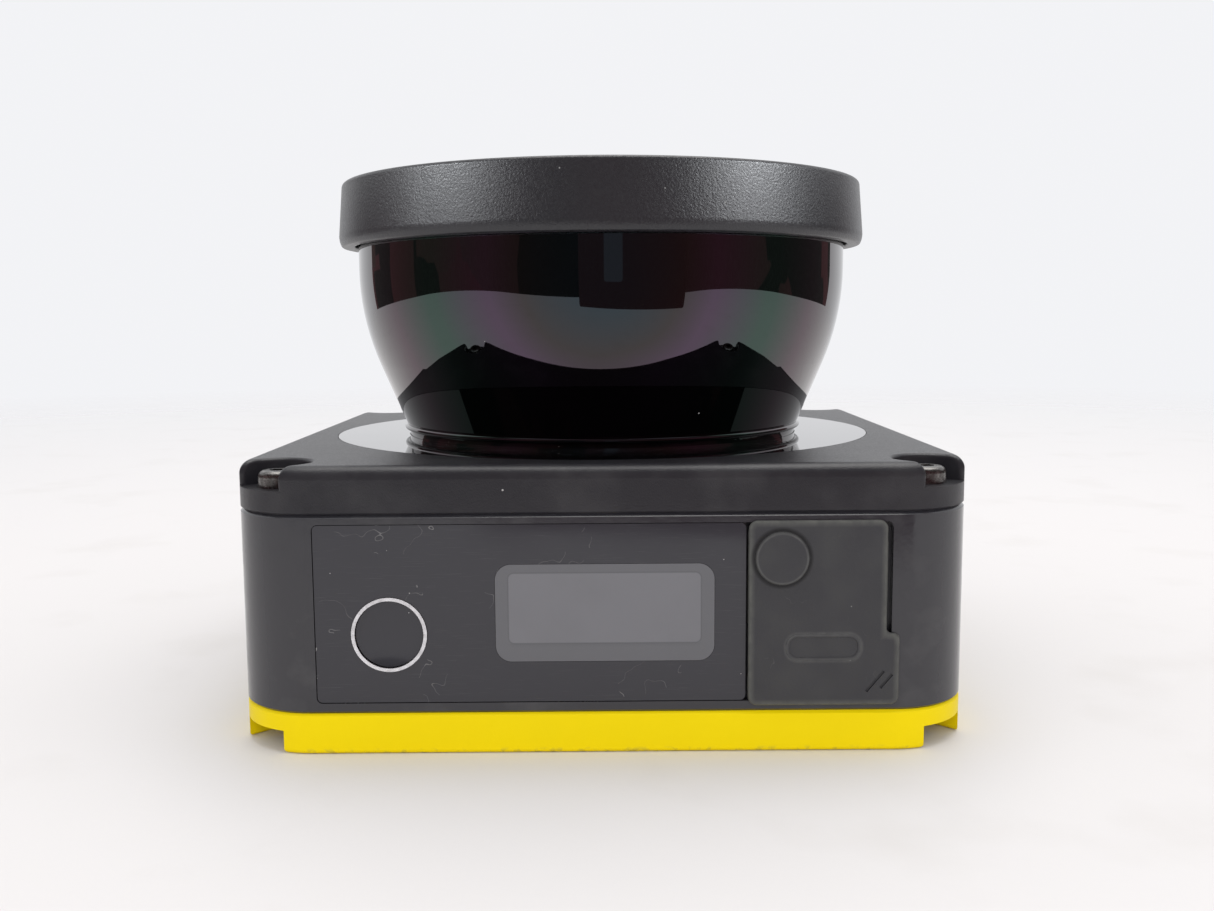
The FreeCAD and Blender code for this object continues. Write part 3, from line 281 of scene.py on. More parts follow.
paper = Finish("white_paper", (0.69, 0.672, 0.668), 0.7)
smudges = paper.ramp(paper.noise(0.03, 4.0), 0.55, 0.75, 0.0, 1.0)
paper.set("Base Color", paper.mix(smudges, paper.colour, (0.655, 0.635, 0.625, 1.0)))
paper.relief(paper.noise(0.0008), 0.00002)
fade = paper.ramp(paper.reach("X", "Y"), 0.16, 0.85, 0.0, 1.0)
faded = paper.node("ShaderNodeMixShader", {}, {0: fade, 1: Signal(paper, paper.shader.outputs[0]),
                                               2: paper.node("ShaderNodeBsdfTransparent")})
paper.tree.links.new(faded.socket, paper.tree.nodes["Material Output"].inputs["Surface"])
paper_sheet.data.materials.append(paper.material)


# ================================================================ dark room
# The unlit room in front of the paper, round-cornered and with dim furniture in it, and the camera's
# own dark body. Only reflections see them, so every other view keeps its pale surroundings.
def choose(piece, kind, test):
    """In edit mode, select only what passes the test on its middle point and itself."""
    mesh = bmesh.from_edit_mesh(piece.data)
    bpy.context.tool_settings.mesh_select_mode = (kind == "verts", kind == "edges", kind == "faces")
    bpy.ops.mesh.select_all(action="DESELECT")
    for item in getattr(mesh, kind):
        if kind == "verts":
            middle = item.co
        elif kind == "edges":
            middle = (item.verts[0].co + item.verts[1].co) / 2
        else:
            middle = item.calc_center_median()
        item.select_set(bool(test(middle, item)))
    mesh.select_flush_mode()
    bmesh.update_edit_mesh(piece.data)


room_height, room_front = 0.70, -0.28
wall_back, wall_back_height = -0.02, 0.20
room = begin("dark_room", bpy.ops.mesh.primitive_cube_add, scale=(0.96, 0.66, room_height), size=1.0,
             location=(0, 0.05, room_height / 2))
choose(room, "faces", lambda middle, face: abs(face.normal.z) > 0.5 or face.normal.y > 0.5)
bpy.ops.mesh.delete(type="FACE")
choose(room, "edges", lambda middle, edge: (middle.y < room_front + 0.01
                                            and abs(middle.z - room_height / 2) < 0.01))
bpy.ops.mesh.bevel(offset=0.24, segments=16)
bpy.ops.mesh.select_all(action="SELECT")
bpy.ops.mesh.bisect(plane_co=(0, 0, wall_back_height), plane_no=(0, 0, 1))
bpy.ops.mesh.select_all(action="SELECT")
bpy.ops.mesh.bisect(plane_co=(0, wall_back, 0), plane_no=(0, 1, 0))
choose(room, "faces", lambda middle, face: middle.y > wall_back and middle.z > wall_back_height)
bpy.ops.mesh.delete(type="FACE")
choose(room, "verts", lambda middle, vert: middle.z < 0.0005)
bpy.ops.transform.translate(value=(0, 0, 0.0008))
bpy.ops.object.mode_set(mode="OBJECT")

dim_room = Finish("dim_room", (0.0, 0.0, 0.0), 1.0, Emission_Strength=1.0)
shapes = dim_room.node("ShaderNodeTexVoronoi", {"distance": "CHEBYCHEV"}, {
    "Vector": dim_room.stretched((6.0, 6.0, 5.0), shift=(0.3, 0.1, 0.45)), "Scale": 1.0}, "Color")
lot = dim_room.node("ShaderNodeSeparateColor", {}, {0: shapes}, 0)
greenish_to_reddish = dim_room.mix(dim_room.ramp(lot, 0.3, 0.7, 0.0, 1.0), (0.05, 0.10, 0.075, 1.0),
                                   (0.16, 0.08, 0.085, 1.0))
dim_room.set("Emission Color", dim_room.mix(lot > 0.55, (0.055, 0.05, 0.05, 1.0), greenish_to_reddish))
room.data.materials.append(dim_room.material)

handset = begin("camera_body", bpy.ops.mesh.primitive_cube_add, scale=(0.165, 0.008, 0.089), size=1.0,
                location=(0.046, -0.203, 0.045), rotation=(0, 0, math.radians(13)))
choose(handset, "edges", lambda middle, edge: True)
bpy.ops.mesh.bevel(offset=0.0035, segments=3)
bpy.ops.object.mode_set(mode="OBJECT")

handset_skin = Finish("handset_skin", (0.0, 0.0, 0.0), 1.0, Emission_Strength=1.0)
pale_patch = handset_skin.area(0.004, 0.030, 0.042, 0.085, 0.004) < 0.0
handset_skin.set("Emission Color", handset_skin.mix(pale_patch, (0.15, 0.075, 0.080, 1.0),
                                                    (0.26, 0.22, 0.24, 1.0)))
handset.data.materials.append(handset_skin.material)

for card in (room, handset):
    card.visible_camera = card.visible_diffuse = card.visible_shadow = False
    card.visible_transmission = card.visible_volume_scatter = False


# ================================================================ base plate
# Cast plate in signal yellow powder coat, screwed up into the housing through its four open corners.
# The coat is satin, with a fine orange peel, and is scuffed along the edge that it is set down on.
yellow = Finish("yellow_powder_coat", (0.87, 0.665, 0.0005), 0.42, Specular_IOR_Level=0.12)
low_edge = yellow.ramp(yellow.along("Z"), 0.0002, 0.0009, 1.0, 0.0)
scuff = low_edge * yellow.ramp(yellow.noise(0.0012, 5.0), 0.52, 0.62, 0.0, 1.0)
cloud = yellow.ramp(yellow.noise(0.012, 3.0), 0.3, 0.7, 0.0, 1.0)
clouded = yellow.mix(cloud, yellow.colour, (0.85, 0.645, 0.0008, 1.0))
yellow.set("Base Color", yellow.mix(scuff * 0.6, clouded, (0.42, 0.33, 0.05, 1.0)))
yellow.set("Roughness", yellow.ramp(yellow.noise(0.004), 0.3, 0.7, 0.38, 0.48) + scuff * 0.2)
yellow.relief(yellow.noise(0.0007, 2.0) + yellow.noise(0.0002, 1.0) * 0.3, 0.00002)
yellow.coat("base_plate")


# ================================================================ housing
# Die-cast body, one piece with its screw posts and the rear bay, under a semi-gloss black coat. The
# coat shows a faint orange peel, dust specks and the odd rub mark.
cast = Finish("black_cast_coat", (0.024, 0.0232, 0.0275), 0.16, Specular_IOR_Level=0.62)
cast_dust = cast.specks(0.0035, 0.16, 0.06)
rub = cast.ramp(cast.noise(0.006, 4.0), 0.55, 0.8, 0.0, 1.0)
cast.set("Base Color", cast.mix(cast_dust.at_least(rub * 0.06), cast.colour, (0.35, 0.34, 0.33, 1.0)))
cast.set("Roughness", cast.ramp(cast.noise(0.003), 0.3, 0.7, 0.12, 0.20) + cast_dust * 0.4 + rub * 0.08)
cast.relief(cast.noise(0.0009, 2.0) + cast.noise(0.00025, 1.0) * 0.25, 0.000012)
cast.coat("housing")


# ================================================================ top cover
# Moulded matt black cover over the housing, held by four socket screws sunk in open corner pockets.
# The mould gives it a fine spark texture, and dust lies on its top.
matt = Finish("matt_cover", (0.0168, 0.0162, 0.0200), 0.38, Specular_IOR_Level=0.5)
grain = matt.noise(0.00022, 2.0, 0.6)
matt_dust = matt.specks(0.0022, 0.25, 0.07)
wipe = matt.ramp(matt.noise(0.008, 4.0), 0.5, 0.8, 0.0, 1.0)
matt.set("Base Color", matt.mix(matt_dust.at_least(wipe * 0.05), matt.colour, (0.34, 0.33, 0.32, 1.0)))
matt.set("Roughness", matt.ramp(grain, 0.3, 0.7, 0.32, 0.44) + matt_dust * 0.3)
matt.relief(grain, 0.00003)
matt.coat("top_cover")


# ================================================================ case screws
# Socket screws in blackened steel, four down through the cover and four up through the base plate.
# The blacking is worn to grey metal where the key and the air have got at it.
black_steel = Finish("black_screw_steel", (0.16, 0.155, 0.15), 0.30, 1.0)
worn = black_steel.ramp(black_steel.noise(0.0009, 4.0), 0.5, 0.75, 0.0, 1.0)
black_steel.set("Base Color", black_steel.mix(worn, black_steel.colour, (0.33, 0.32, 0.31, 1.0)))
black_steel.set("Roughness", black_steel.ramp(black_steel.noise(0.0004), 0.3, 0.7, 0.22, 0.42))
black_steel.relief(black_steel.noise(0.0003), 0.000015)
black_steel.coat("base_screws", "cover_screws")


# ================================================================ light ring
# Polished smoke-black ring let into the cover and glued there, lit from below by the status lights.
# It mirrors whatever stands beyond it, and shows every dust speck.
ring_gloss = Finish("light_ring_gloss", (0.004, 0.004, 0.0045), 0.02, IOR=1.52, Coat_Weight=0.5,
                    Coat_Roughness=0.01)
ring_dust = ring_gloss.specks(0.0030, 0.16, 0.05)
ring_gloss.set("Base Color", ring_gloss.mix(ring_dust, ring_gloss.colour, (0.22, 0.22, 0.22, 1.0)))
ring_gloss.set("Roughness", ring_gloss.ramp(ring_gloss.noise(0.006, 3.0), 0.4, 0.8, 0.015, 0.05)
               + ring_dust * 0.4)
ring_gloss.relief(ring_gloss.noise(0.010, 1.0), 0.00001)
ring_gloss.coat("light_ring")


# ================================================================ optics hood
# One-piece flared hood in black infrared-clear plastic with a hard coat, which shows faint green and
# purple bands. It is polished all over, with a few dust specks, and a moulded bead runs where its neck
# meets the light ring.
hood = Finish("hood_plastic", (0.039, 0.052, 0.061), 0.02, 1.0)
facing = (hood.node("ShaderNodeLayerWeight", {}, {"Blend": 0.5}, "Facing")
          + (hood.noise(0.02, 1.0) - 0.5) * 0.05)
tint = hood.colour
for start, end, band in ((0.01, 0.06, (0.057, 0.052, 0.053, 1.0)), (0.06, 0.12, (0.087, 0.064, 0.092, 1.0)),
                         (0.13, 0.29, (0.060, 0.090, 0.078, 1.0)), (0.33, 0.52, (0.108, 0.085, 0.097, 1.0)),
                         (0.52, 0.75, (0.125, 0.121, 0.122, 1.0))):
    tint = hood.mix(hood.ramp(facing, start, end, 0.0, 1.0), tint, band)
hood_dust = hood.specks(0.0034, 0.2, 0.055)
hood.set("Base Color", hood.mix(hood_dust, tint, (0.40, 0.39, 0.38, 1.0)))
hood.set("Metallic", 1.0 - hood_dust)
hood.set("Roughness", hood.ramp(hood.noise(0.008, 3.0), 0.4, 0.8, 0.015, 0.04) + hood_dust * 0.5)
hood.relief(hood.noise(0.012, 1.0), 0.00001)
hood.coat("optics_hood")

bead_size, bead_reach, bead_height = 0.00045, 0.0332, 0.04045
bead = begin("hood_foot_bead", bpy.ops.mesh.primitive_circle_add, vertices=16, radius=bead_size,
             fill_type="NOTHING", location=(bead_reach, 0, bead_height), rotation=(math.pi / 2, 0, 0))
bpy.ops.mesh.spin(steps=192, angle=2 * math.pi, center=(0, 0, 0), axis=(0, 0, 1))
bpy.ops.mesh.select_all(action="SELECT")
bpy.ops.mesh.remove_doubles(threshold=0.000005)
bpy.ops.mesh.normals_make_consistent(inside=False)
bpy.ops.object.mode_set(mode="OBJECT")
bpy.ops.object.shade_smooth()
bead.data.materials.append(hood.material)
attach(bead, "enclosure")


# ================================================================ hood cap
# Matt black moulded cap, pressed over the hood's rim, with a rib inside that sits on the hood's top.
# Its spark texture is coarser than the cover's, so two lamps high at the front show on it as broad
# glittering patches.
def turned(name, outline, rounds):
    """A closed outline of (radius, height) corners, rounded where rounds says, spun about the middle."""
    piece = begin(name, bpy.ops.mesh.primitive_plane_add, size=0.001)
    bpy.context.tool_settings.mesh_select_mode = (True, False, False)
    bpy.ops.mesh.select_all(action="SELECT")
    bpy.ops.mesh.merge(type="CENTER")
    bpy.ops.transform.translate(value=(outline[0][0], 0, outline[0][1]))
    for (r0, z0), (r1, z1) in zip(outline, outline[1:]):
        bpy.ops.mesh.extrude_region_move(TRANSFORM_OT_translate={"value": (r1 - r0, 0, z1 - z0)})
    for (r, z), rounding in rounds.items():
        choose(piece, "verts", lambda middle, vert: (abs(middle.x - r) < 0.00001
                                                     and abs(middle.z - z) < 0.00001))
        bpy.ops.mesh.bevel(offset=rounding, segments=8, affect="VERTICES")
    bpy.ops.mesh.select_all(action="SELECT")
    bpy.ops.mesh.spin(steps=256, angle=2 * math.pi, center=(0, 0, 0), axis=(0, 0, 1))
    bpy.ops.mesh.select_all(action="SELECT")
    bpy.ops.mesh.remove_doubles(threshold=0.000005)
    bpy.ops.mesh.normals_make_consistent(inside=False)
    bpy.ops.object.mode_set(mode="OBJECT")
    bpy.ops.object.shade_smooth_by_angle(angle=math.radians(30))
    return piece


top_edge, widest_edge = (0.04285, 0.08), (0.04355, 0.0711)
foot_outer, foot_inner = (0.0431, 0.0699), (0.0410, 0.0699)
inside_top, rib_outer, rib_inner, rib_foot = 0.0776, 0.0350, 0.0320, 0.0740
cap_piece = turned("moulded_cap", [(0.0, top_edge[1]), top_edge, widest_edge, foot_outer, foot_inner,
                                   (foot_inner[0], inside_top), (rib_outer, inside_top), (rib_outer, rib_foot),
                                   (rib_inner, rib_foot), (rib_inner, inside_top), (0.0, inside_top)],
                   {top_edge: 0.0006, widest_edge: 0.0006, foot_outer: 0.0003, foot_inner: 0.0003})
cap = Finish("cap_plastic", (0.0150, 0.0148, 0.0182), 0.34, Specular_IOR_Level=0.6)
cap_grain = cap.noise(0.00035, 2.0, 0.6)
cap_dust = cap.specks(0.0028, 0.16, 0.06)
cap.set("Base Color", cap.mix(cap_dust * 0.5, cap.colour, (0.34, 0.33, 0.32, 1.0)))
cap.set("Roughness", cap.ramp(cap_grain, 0.3, 0.7, 0.30, 0.40) + cap_dust * 0.3)
cap.relief(cap_grain, 0.00005)
cap_piece.data.materials.append(cap.material)
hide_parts("hood_cap")
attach(cap_piece, "enclosure")

lit_by_glints = bpy.data.collections.new("lit_by_glints")
lit_by_glints.objects.link(cap_piece)
for side, power in ((-1, 2.8), (1, 3.3)):
    glint = lamp("glint_lamp", 0.16, power, (side * 0.43, -0.195, 0.27), (0, 0, 0.07), (0.93, 0.965, 1.0))
    glint.visible_diffuse = False
    glint.light_linking.receiver_collection = lit_by_glints


# ================================================================ faceplate
# Gloss dark film on a moulded plate, glued into the housing's recess, with its lower edge chipped here
# and there. Hairs, specks and hairline scratches lie on it, and the place at its left end is bare.
film = Finish("faceplate_film", (0.0285, 0.0278, 0.0335), 0.09, Specular_IOR_Level=0.5)
film_dust = film.specks(0.0026, 0.22, 0.055)
film_hair = film.hairs(0.0035, 0.0022, 0.38)
film_lines = film.scratches(0.00006, 0.004, (0, math.radians(35), 0), 0.30)
plate_low, plate_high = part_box("faceplate")
plate_edge = film.area(plate_low.x, plate_high.x, plate_low.z, plate_high.z, 0.0007)
near_foot = (film.along("Z") + film.along("X") * 0.2) < 0.008
chips = film.ramp(plate_edge, -0.00020, -0.00010, 0.0, 1.0) * (film.noise(0.0009, 3.0) > 0.66) * near_foot
marks = film_dust.at_least(film_hair * 0.25).at_least(chips * 0.5)
film.set("Base Color", film.mix(marks.at_least(film_lines * 0.04), film.colour, (0.42, 0.41, 0.40, 1.0)))
film.set("Roughness", film.ramp(film.noise(0.010, 3.0), 0.3, 0.7, 0.06, 0.12) + marks * 0.4)
film.relief(film.noise(0.02, 1.0) * 0.5 + marks, 0.00002)
film.coat("faceplate")


# ================================================================ display
# Clear window glued over the lit display. The display's glow is painted into the window's colour as a paler
# rectangle inside the window's frosted border, with a painted shadow line round it and painted shade below
# it. The display itself is a glass module with fine rows of dots.
glass = Finish("window_glass", (0.110, 0.109, 0.118), 0.08, Specular_IOR_Level=0.5)
lit_foot = 0.0151
lit = glass.area(-0.01265, 0.0131, lit_foot, 0.0247, 0.0008)
# Painted glow: where the lit display shows, the window's own colour is made paler.
lit_face = glass.ramp(lit, -0.00012, 0.0, 1.0, 0.0)
# Painted shadow: a thin darker line round the lit rectangle, as the bezel would cast.
painted_bezel_shadow = glass.ramp(abs(lit + 0.00002), 0.0, 0.00016, 1.0, 0.0)
# Painted shade: a darker band just below the lit rectangle.
painted_shade_below_display = glass.ramp(lit, 0.0, 0.0006, 1.0, 0.0) * (glass.along("Z") < lit_foot)
glass_dust = glass.specks(0.0024, 0.16, 0.05, (0.01, 0.0, 0.02))
face = glass.mix(lit_face, glass.colour, (0.150, 0.148, 0.160, 1.0))
face = glass.mix(painted_bezel_shadow * 0.4, face, (0.06, 0.06, 0.065, 1.0))
face = glass.mix(painted_shade_below_display * 0.25, face, (0.07, 0.07, 0.075, 1.0))
grease = glass.ramp(glass.noise(0.006, 3.0), 0.4, 0.8, 0.0, 0.12)
face = glass.mix(grease, face, (0.09, 0.09, 0.09, 1.0))
glass.set("Base Color", glass.mix(glass_dust, face, (0.5, 0.5, 0.5, 1.0)))
glass.set("Roughness", glass.ramp(glass.noise(0.008), 0.3, 0.7, 0.06, 0.11) + glass_dust * 0.3)
glass.relief(glass.noise(0.02, 1.0), 0.00001)
glass.coat("display_window")

display = Finish("display_unit", (0.03, 0.034, 0.036), 0.2)
rows_to_metre = 21000.0
dots = (display.along("Z") * rows_to_metre).wave() * (display.along("X") * rows_to_metre).wave()
display.set("Base Color", display.mix(display.ramp(dots, 0.0, 0.5, 0.0, 1.0), display.colour,
                                      (0.06, 0.07, 0.07, 1.0)))
display.set("Roughness", display.ramp(display.noise(0.004), 0.3, 0.7, 0.15, 0.25))
display.coat("display_panel")


# ================================================================ push button
# Dished gloss plastic cap that slides in a thin bright ring, pressed into the faceplate and proud of it
# by a hair. Fingers have dulled the ring here and there.
bright = Finish("button_ring_metal", (0.84, 0.84, 0.87), 0.3, 1.0)
dull = bright.ramp(bright.noise(0.0009, 4.0), 0.45, 0.75, 0.0, 1.0)
bright.set("Base Color", bright.mix(dull, bright.colour, (0.66, 0.66, 0.68, 1.0)))
bright.set("Roughness", bright.ramp(bright.noise(0.0005), 0.3, 0.7, 0.22, 0.4))
bright.relief(bright.noise(0.0004), 0.00001)
bright.coat("button_ring")

button = Finish("button_plastic", (0.0285, 0.0278, 0.0335), 0.10, Specular_IOR_Level=0.5)
button_dust = button.specks(0.0020, 0.2, 0.06)
button.set("Base Color", button.mix(button_dust, button.colour, (0.35, 0.35, 0.35, 1.0)))
button.set("Roughness", button.ramp(button.noise(0.003), 0.3, 0.7, 0.07, 0.13) + button_dust * 0.4)
button.relief(button.noise(0.0030, 1.0), 0.000006)
button.coat("button_cap")


# ================================================================ rubber flap
# One dull rubber moulding over the service socket: a fixed corner whose round knob is buttoned into the
# housing, a thin web that bends along the diagonal, and a door with a grip tab, two grooves, a raised
# slot mark and a plug behind. It collects dust. Painted highlights make its rim, the knob's edge and the
# mark's edges paler, and painted shade darkens a ring round the knob's foot.
(flap_left, flap_front, flap_foot), (tab_right, plug_back, flap_top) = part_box("usb_flap")
flap_back, lip_right, tab_top = -0.0506, 0.0377, 0.0163
corner_round, tab_round = 0.0012, 0.0008
flap = begin("rubber_flap", bpy.ops.mesh.primitive_plane_add,
             scale=(tab_right - flap_left, tab_top - flap_foot, 1.0), size=1.0, rotation=(math.pi / 2, 0, 0),
             location=((flap_left + tab_right) / 2, flap_front, (flap_foot + tab_top) / 2))
bpy.ops.mesh.bisect(plane_co=(lip_right, 0, 0), plane_no=(1, 0, 0))
choose(flap, "edges", lambda middle, edge: (middle.z > tab_top - 0.0001
                                            and middle.x < lip_right - 0.0001))
bpy.ops.mesh.extrude_region_move(TRANSFORM_OT_translate={"value": (0, 0, flap_top - tab_top)})
bpy.ops.mesh.select_all(action="SELECT")
bpy.ops.mesh.dissolve_limited(angle_limit=0.01)
choose(flap, "verts", lambda middle, vert: (middle.z < flap_foot + 0.001
                                            or middle.z > flap_top - 0.001))
bpy.ops.mesh.bevel(offset=corner_round, segments=8, affect="VERTICES")
choose(flap, "verts", lambda middle, vert: abs(middle.z - tab_top) < 0.001)
bpy.ops.mesh.bevel(offset=tab_round, segments=6, affect="VERTICES")
bpy.ops.mesh.select_all(action="SELECT")
bpy.ops.mesh.extrude_region_move(TRANSFORM_OT_translate={"value": (0, flap_back - flap_front, 0)})
bpy.ops.mesh.select_all(action="SELECT")
bpy.ops.mesh.normals_make_consistent(inside=False)
choose(flap, "edges", lambda middle, edge: abs(middle.y - flap_front) < 0.00001)
bpy.ops.mesh.bevel(offset=0.00038, segments=5)
bpy.ops.object.mode_set(mode="OBJECT")

for step, groove_length in ((-0.00075, 0.0036), (0.00075, 0.0024)):
    cutter = begin("groove_cutter", bpy.ops.mesh.primitive_cube_add,
                   scale=(0.00038, 0.0005, groove_length), size=1.0,
                   location=(0.0370 + step, flap_front, 0.0098), rotation=(0, math.radians(40), 0))
    bpy.ops.object.mode_set(mode="OBJECT")
    bpy.context.view_layer.objects.active = flap
    cut = flap.modifiers.new("groove", "BOOLEAN")
    cut.object = cutter
    cut.operation = "DIFFERENCE"
    cut.solver = "EXACT"
    bpy.ops.object.modifier_apply(modifier="groove")
    bpy.data.objects.remove(cutter)

hinge = Vector((0.0243, flap_front, 0.0200))
across = Vector((1, 0, -1)).normalized()
web_start, web_end = hinge - across * 0.0014, hinge + across * 0.0030
filling_size, filling_middle = (0.0185, 0.00128, 0.0229), (0.02855, -0.04994, 0.0192)
filling_back = filling_middle[1] + filling_size[1] / 2
parts = []
for keep, web_edge in ((1, web_end), (-1, web_start)):
    filling = begin("recess_filling", bpy.ops.mesh.primitive_cube_add, scale=filling_size, size=1.0,
                    location=filling_middle)
    bpy.ops.mesh.bisect(plane_co=web_edge, plane_no=across * keep, use_fill=True, clear_inner=True)
    choose(filling, "edges", lambda middle, edge: abs(edge.verts[0].co.y - edge.verts[1].co.y) > 0.001)
    bpy.ops.mesh.bevel(offset=0.0008, segments=4)
    choose(filling, "edges", lambda middle, edge: abs(middle.y - filling_back) < 0.00001)
    bpy.ops.mesh.bevel(offset=0.0002, segments=2)
    bpy.ops.object.mode_set(mode="OBJECT")
    parts.append(filling)

plug = begin("flap_plug", bpy.ops.mesh.primitive_cube_add, scale=(0.0110, 0.0020, 0.0050), size=1.0,
             location=(0.0305, -0.0483, 0.0134))
choose(plug, "edges", lambda middle, edge: abs(edge.verts[0].co.y - edge.verts[1].co.y) > 0.001)
bpy.ops.mesh.bevel(offset=0.0023, segments=8)
choose(plug, "edges", lambda middle, edge: abs(middle.y - plug_back) < 0.00001)
bpy.ops.mesh.bevel(offset=0.0004, segments=3)
bpy.ops.object.mode_set(mode="OBJECT")
parts.append(plug)

knob_x, knob_z, knob_front = 0.0237, 0.0266, -0.0516
for radius, front, back, rounded, rounding in ((0.0036, knob_front, -0.0510, knob_front, 0.0003),
                                               (0.0022, -0.0495, -0.0462, -0.0462, 0.0001),
                                               (0.0032, -0.0463, -0.0451, -0.0451, 0.0004)):
    disc = begin("flap_knob", bpy.ops.mesh.primitive_cylinder_add, vertices=64, radius=radius,
                 depth=back - front, location=(knob_x, (front + back) / 2, knob_z),
                 rotation=(math.pi / 2, 0, 0))
    choose(disc, "edges", lambda middle, edge: abs(middle.y - rounded) < 0.00001)
    bpy.ops.mesh.bevel(offset=rounding, segments=4)
    bpy.ops.object.mode_set(mode="OBJECT")
    parts.append(disc)

mark_x, mark_z, mark_w, mark_h, mark_round = 0.0293, 0.0145, 0.0100, 0.0036, 0.0016
mark_front, mark_back = -0.0512, -0.05107
mark = begin("slot_mark", bpy.ops.mesh.primitive_plane_add, scale=(mark_w, mark_h, 1.0), size=1.0,
             location=(mark_x, mark_back, mark_z), rotation=(math.pi / 2, 0, 0))
choose(mark, "verts", lambda middle, vert: True)
bpy.ops.mesh.bevel(offset=mark_round, segments=8, affect="VERTICES")
bpy.ops.mesh.select_all(action="SELECT")
bpy.ops.mesh.inset(thickness=0.00045)
bpy.ops.mesh.delete(type="FACE")
bpy.ops.mesh.select_all(action="SELECT")
bpy.ops.mesh.extrude_region_move(TRANSFORM_OT_translate={"value": (0, mark_front - mark_back, 0)})
bpy.ops.mesh.select_all(action="SELECT")
bpy.ops.mesh.normals_make_consistent(inside=False)
choose(mark, "edges", lambda middle, edge: (abs(middle.y - mark_front) < 0.00001
                                            and edge.calc_face_angle(0) > 1))
bpy.ops.mesh.bevel(offset=0.00008, segments=3)
bpy.ops.object.mode_set(mode="OBJECT")
parts.append(mark)

bpy.ops.object.select_all(action="DESELECT")
for part in parts + [flap]:
    part.select_set(True)
bpy.context.view_layer.objects.active = flap
bpy.ops.object.join()
bpy.ops.object.mode_set(mode="EDIT")
web_strips = 18
for line in range(web_strips + 1):
    bpy.ops.mesh.select_all(action="SELECT")
    bpy.ops.mesh.bisect(plane_co=web_start.lerp(web_end, line / web_strips), plane_no=across)
bpy.ops.object.mode_set(mode="OBJECT")
bpy.ops.object.shade_smooth_by_angle(angle=math.radians(35))

rubber = Finish("flap_rubber", (0.040, 0.0398, 0.0435), 0.62, Specular_IOR_Level=0.4)
rubber_dust = rubber.specks(0.0018, 0.35, 0.07)
bloom = rubber.ramp(rubber.noise(0.004, 5.0, 0.6), 0.40, 0.75, 0.0, 1.0)
lip_edge = rubber.area(flap_left, lip_right, flap_foot, flap_top, corner_round)
tab_edge = rubber.area(flap_left, tab_right, flap_foot, tab_top, corner_round)
# Painted highlight: the rim is paler, mottled, as if light caught its rounded edge.
painted_rim_highlight = rubber.ramp(lip_edge.at_most(tab_edge), -0.0009, -0.0002, 0.0, 1.0)
knob_reach = rubber.reach("X", "Z", (knob_x, knob_z))
# Painted highlight on the knob's edge.
painted_knob_highlight = rubber.ramp(abs(knob_reach - 0.00345), 0.0001, 0.0003, 1.0, 0.0) * rubber.noise(0.0015, 3.0)
# Painted shade in a ring round the knob's foot.
painted_knob_foot_shade = rubber.ramp(abs(knob_reach - 0.00375), 0.0001, 0.0005, 1.0, 0.0)
mark_edge = rubber.area(mark_x - mark_w / 2, mark_x + mark_w / 2, mark_z - mark_h / 2, mark_z + mark_h / 2,
                        mark_round)
# Painted highlight along the raised mark's edges.
painted_mark_highlight = rubber.ramp(abs(mark_edge), 0.0001, 0.0004, 1.0, 0.0) * rubber.noise(0.0010, 3.0)
skin = rubber.mix(bloom * 0.45, rubber.colour, (0.062, 0.062, 0.060, 1.0))
# The rim, knob and mark highlights and the shade round the knob are painted into the colour here.
skin = rubber.mix(painted_rim_highlight * rubber.ramp(rubber.noise(0.0012, 4.0), 0.3, 0.7, 0.45, 1.0), skin,
                  (0.098, 0.099, 0.090, 1.0))
skin = rubber.mix(painted_knob_highlight.at_least(painted_mark_highlight * 0.6), skin, (0.13, 0.13, 0.125, 1.0))
skin = rubber.mix(painted_knob_foot_shade * 0.75, skin, (0.010, 0.010, 0.011, 1.0))
rubber.set("Base Color", rubber.mix(rubber_dust.at_least(rubber.hairs(0.002, 0.002, 0.3) * 0.15), skin,
                                    (0.30, 0.30, 0.29, 1.0)))
rubber.set("Roughness", rubber.ramp(rubber.noise(0.002), 0.3, 0.7, 0.52, 0.7))
rubber.relief(rubber.noise(0.0004, 3.0) + rubber.noise(0.006, 2.0) * 2.0, 0.00003)
flap.data.materials.clear()
flap.data.materials.append(rubber.material)
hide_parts("usb_flap", "flap_anchor")
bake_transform(flap)


# ================================================================ moulded insulators
# Small black mouldings that hold live contacts or touch them: the service socket's tongue, the plugs'
# inserts and the button switch's plunger. They come from polished tools, with a slight haze.
insulator = Finish("socket_plastic", (0.018, 0.018, 0.019), 0.4)
insulator.set("Base Color", insulator.shade(insulator.noise(0.001), 1.6))
insulator.set("Roughness", insulator.ramp(insulator.noise(0.0005), 0.3, 0.7, 0.32, 0.5))
insulator.relief(insulator.noise(0.0002), 0.00001)
insulator.coat("usb_tongue", "connector_inserts", "switch_plunger")


# ================================================================ rear plugs
# Two round plugs in the rear bay, for power and data: nickelled brass shells, turned with a screw
# thread and worn yellowish in places, and gilt pins.
nickel = Finish("nickelled_brass", (0.60, 0.58, 0.53), 0.26, 1.0)
nickel_wear = nickel.ramp(nickel.noise(0.0015, 4.0), 0.5, 0.75, 0.0, 1.0)
nickel.set("Base Color", nickel.mix(nickel_wear, nickel.colour, (0.50, 0.44, 0.33, 1.0)))
nickel.set("Roughness", nickel.ramp(nickel.noise(0.0006), 0.3, 0.7, 0.2, 0.36))
nickel.relief(nickel.noise(0.0004), 0.00001)
nickel.coat("connector_shells")

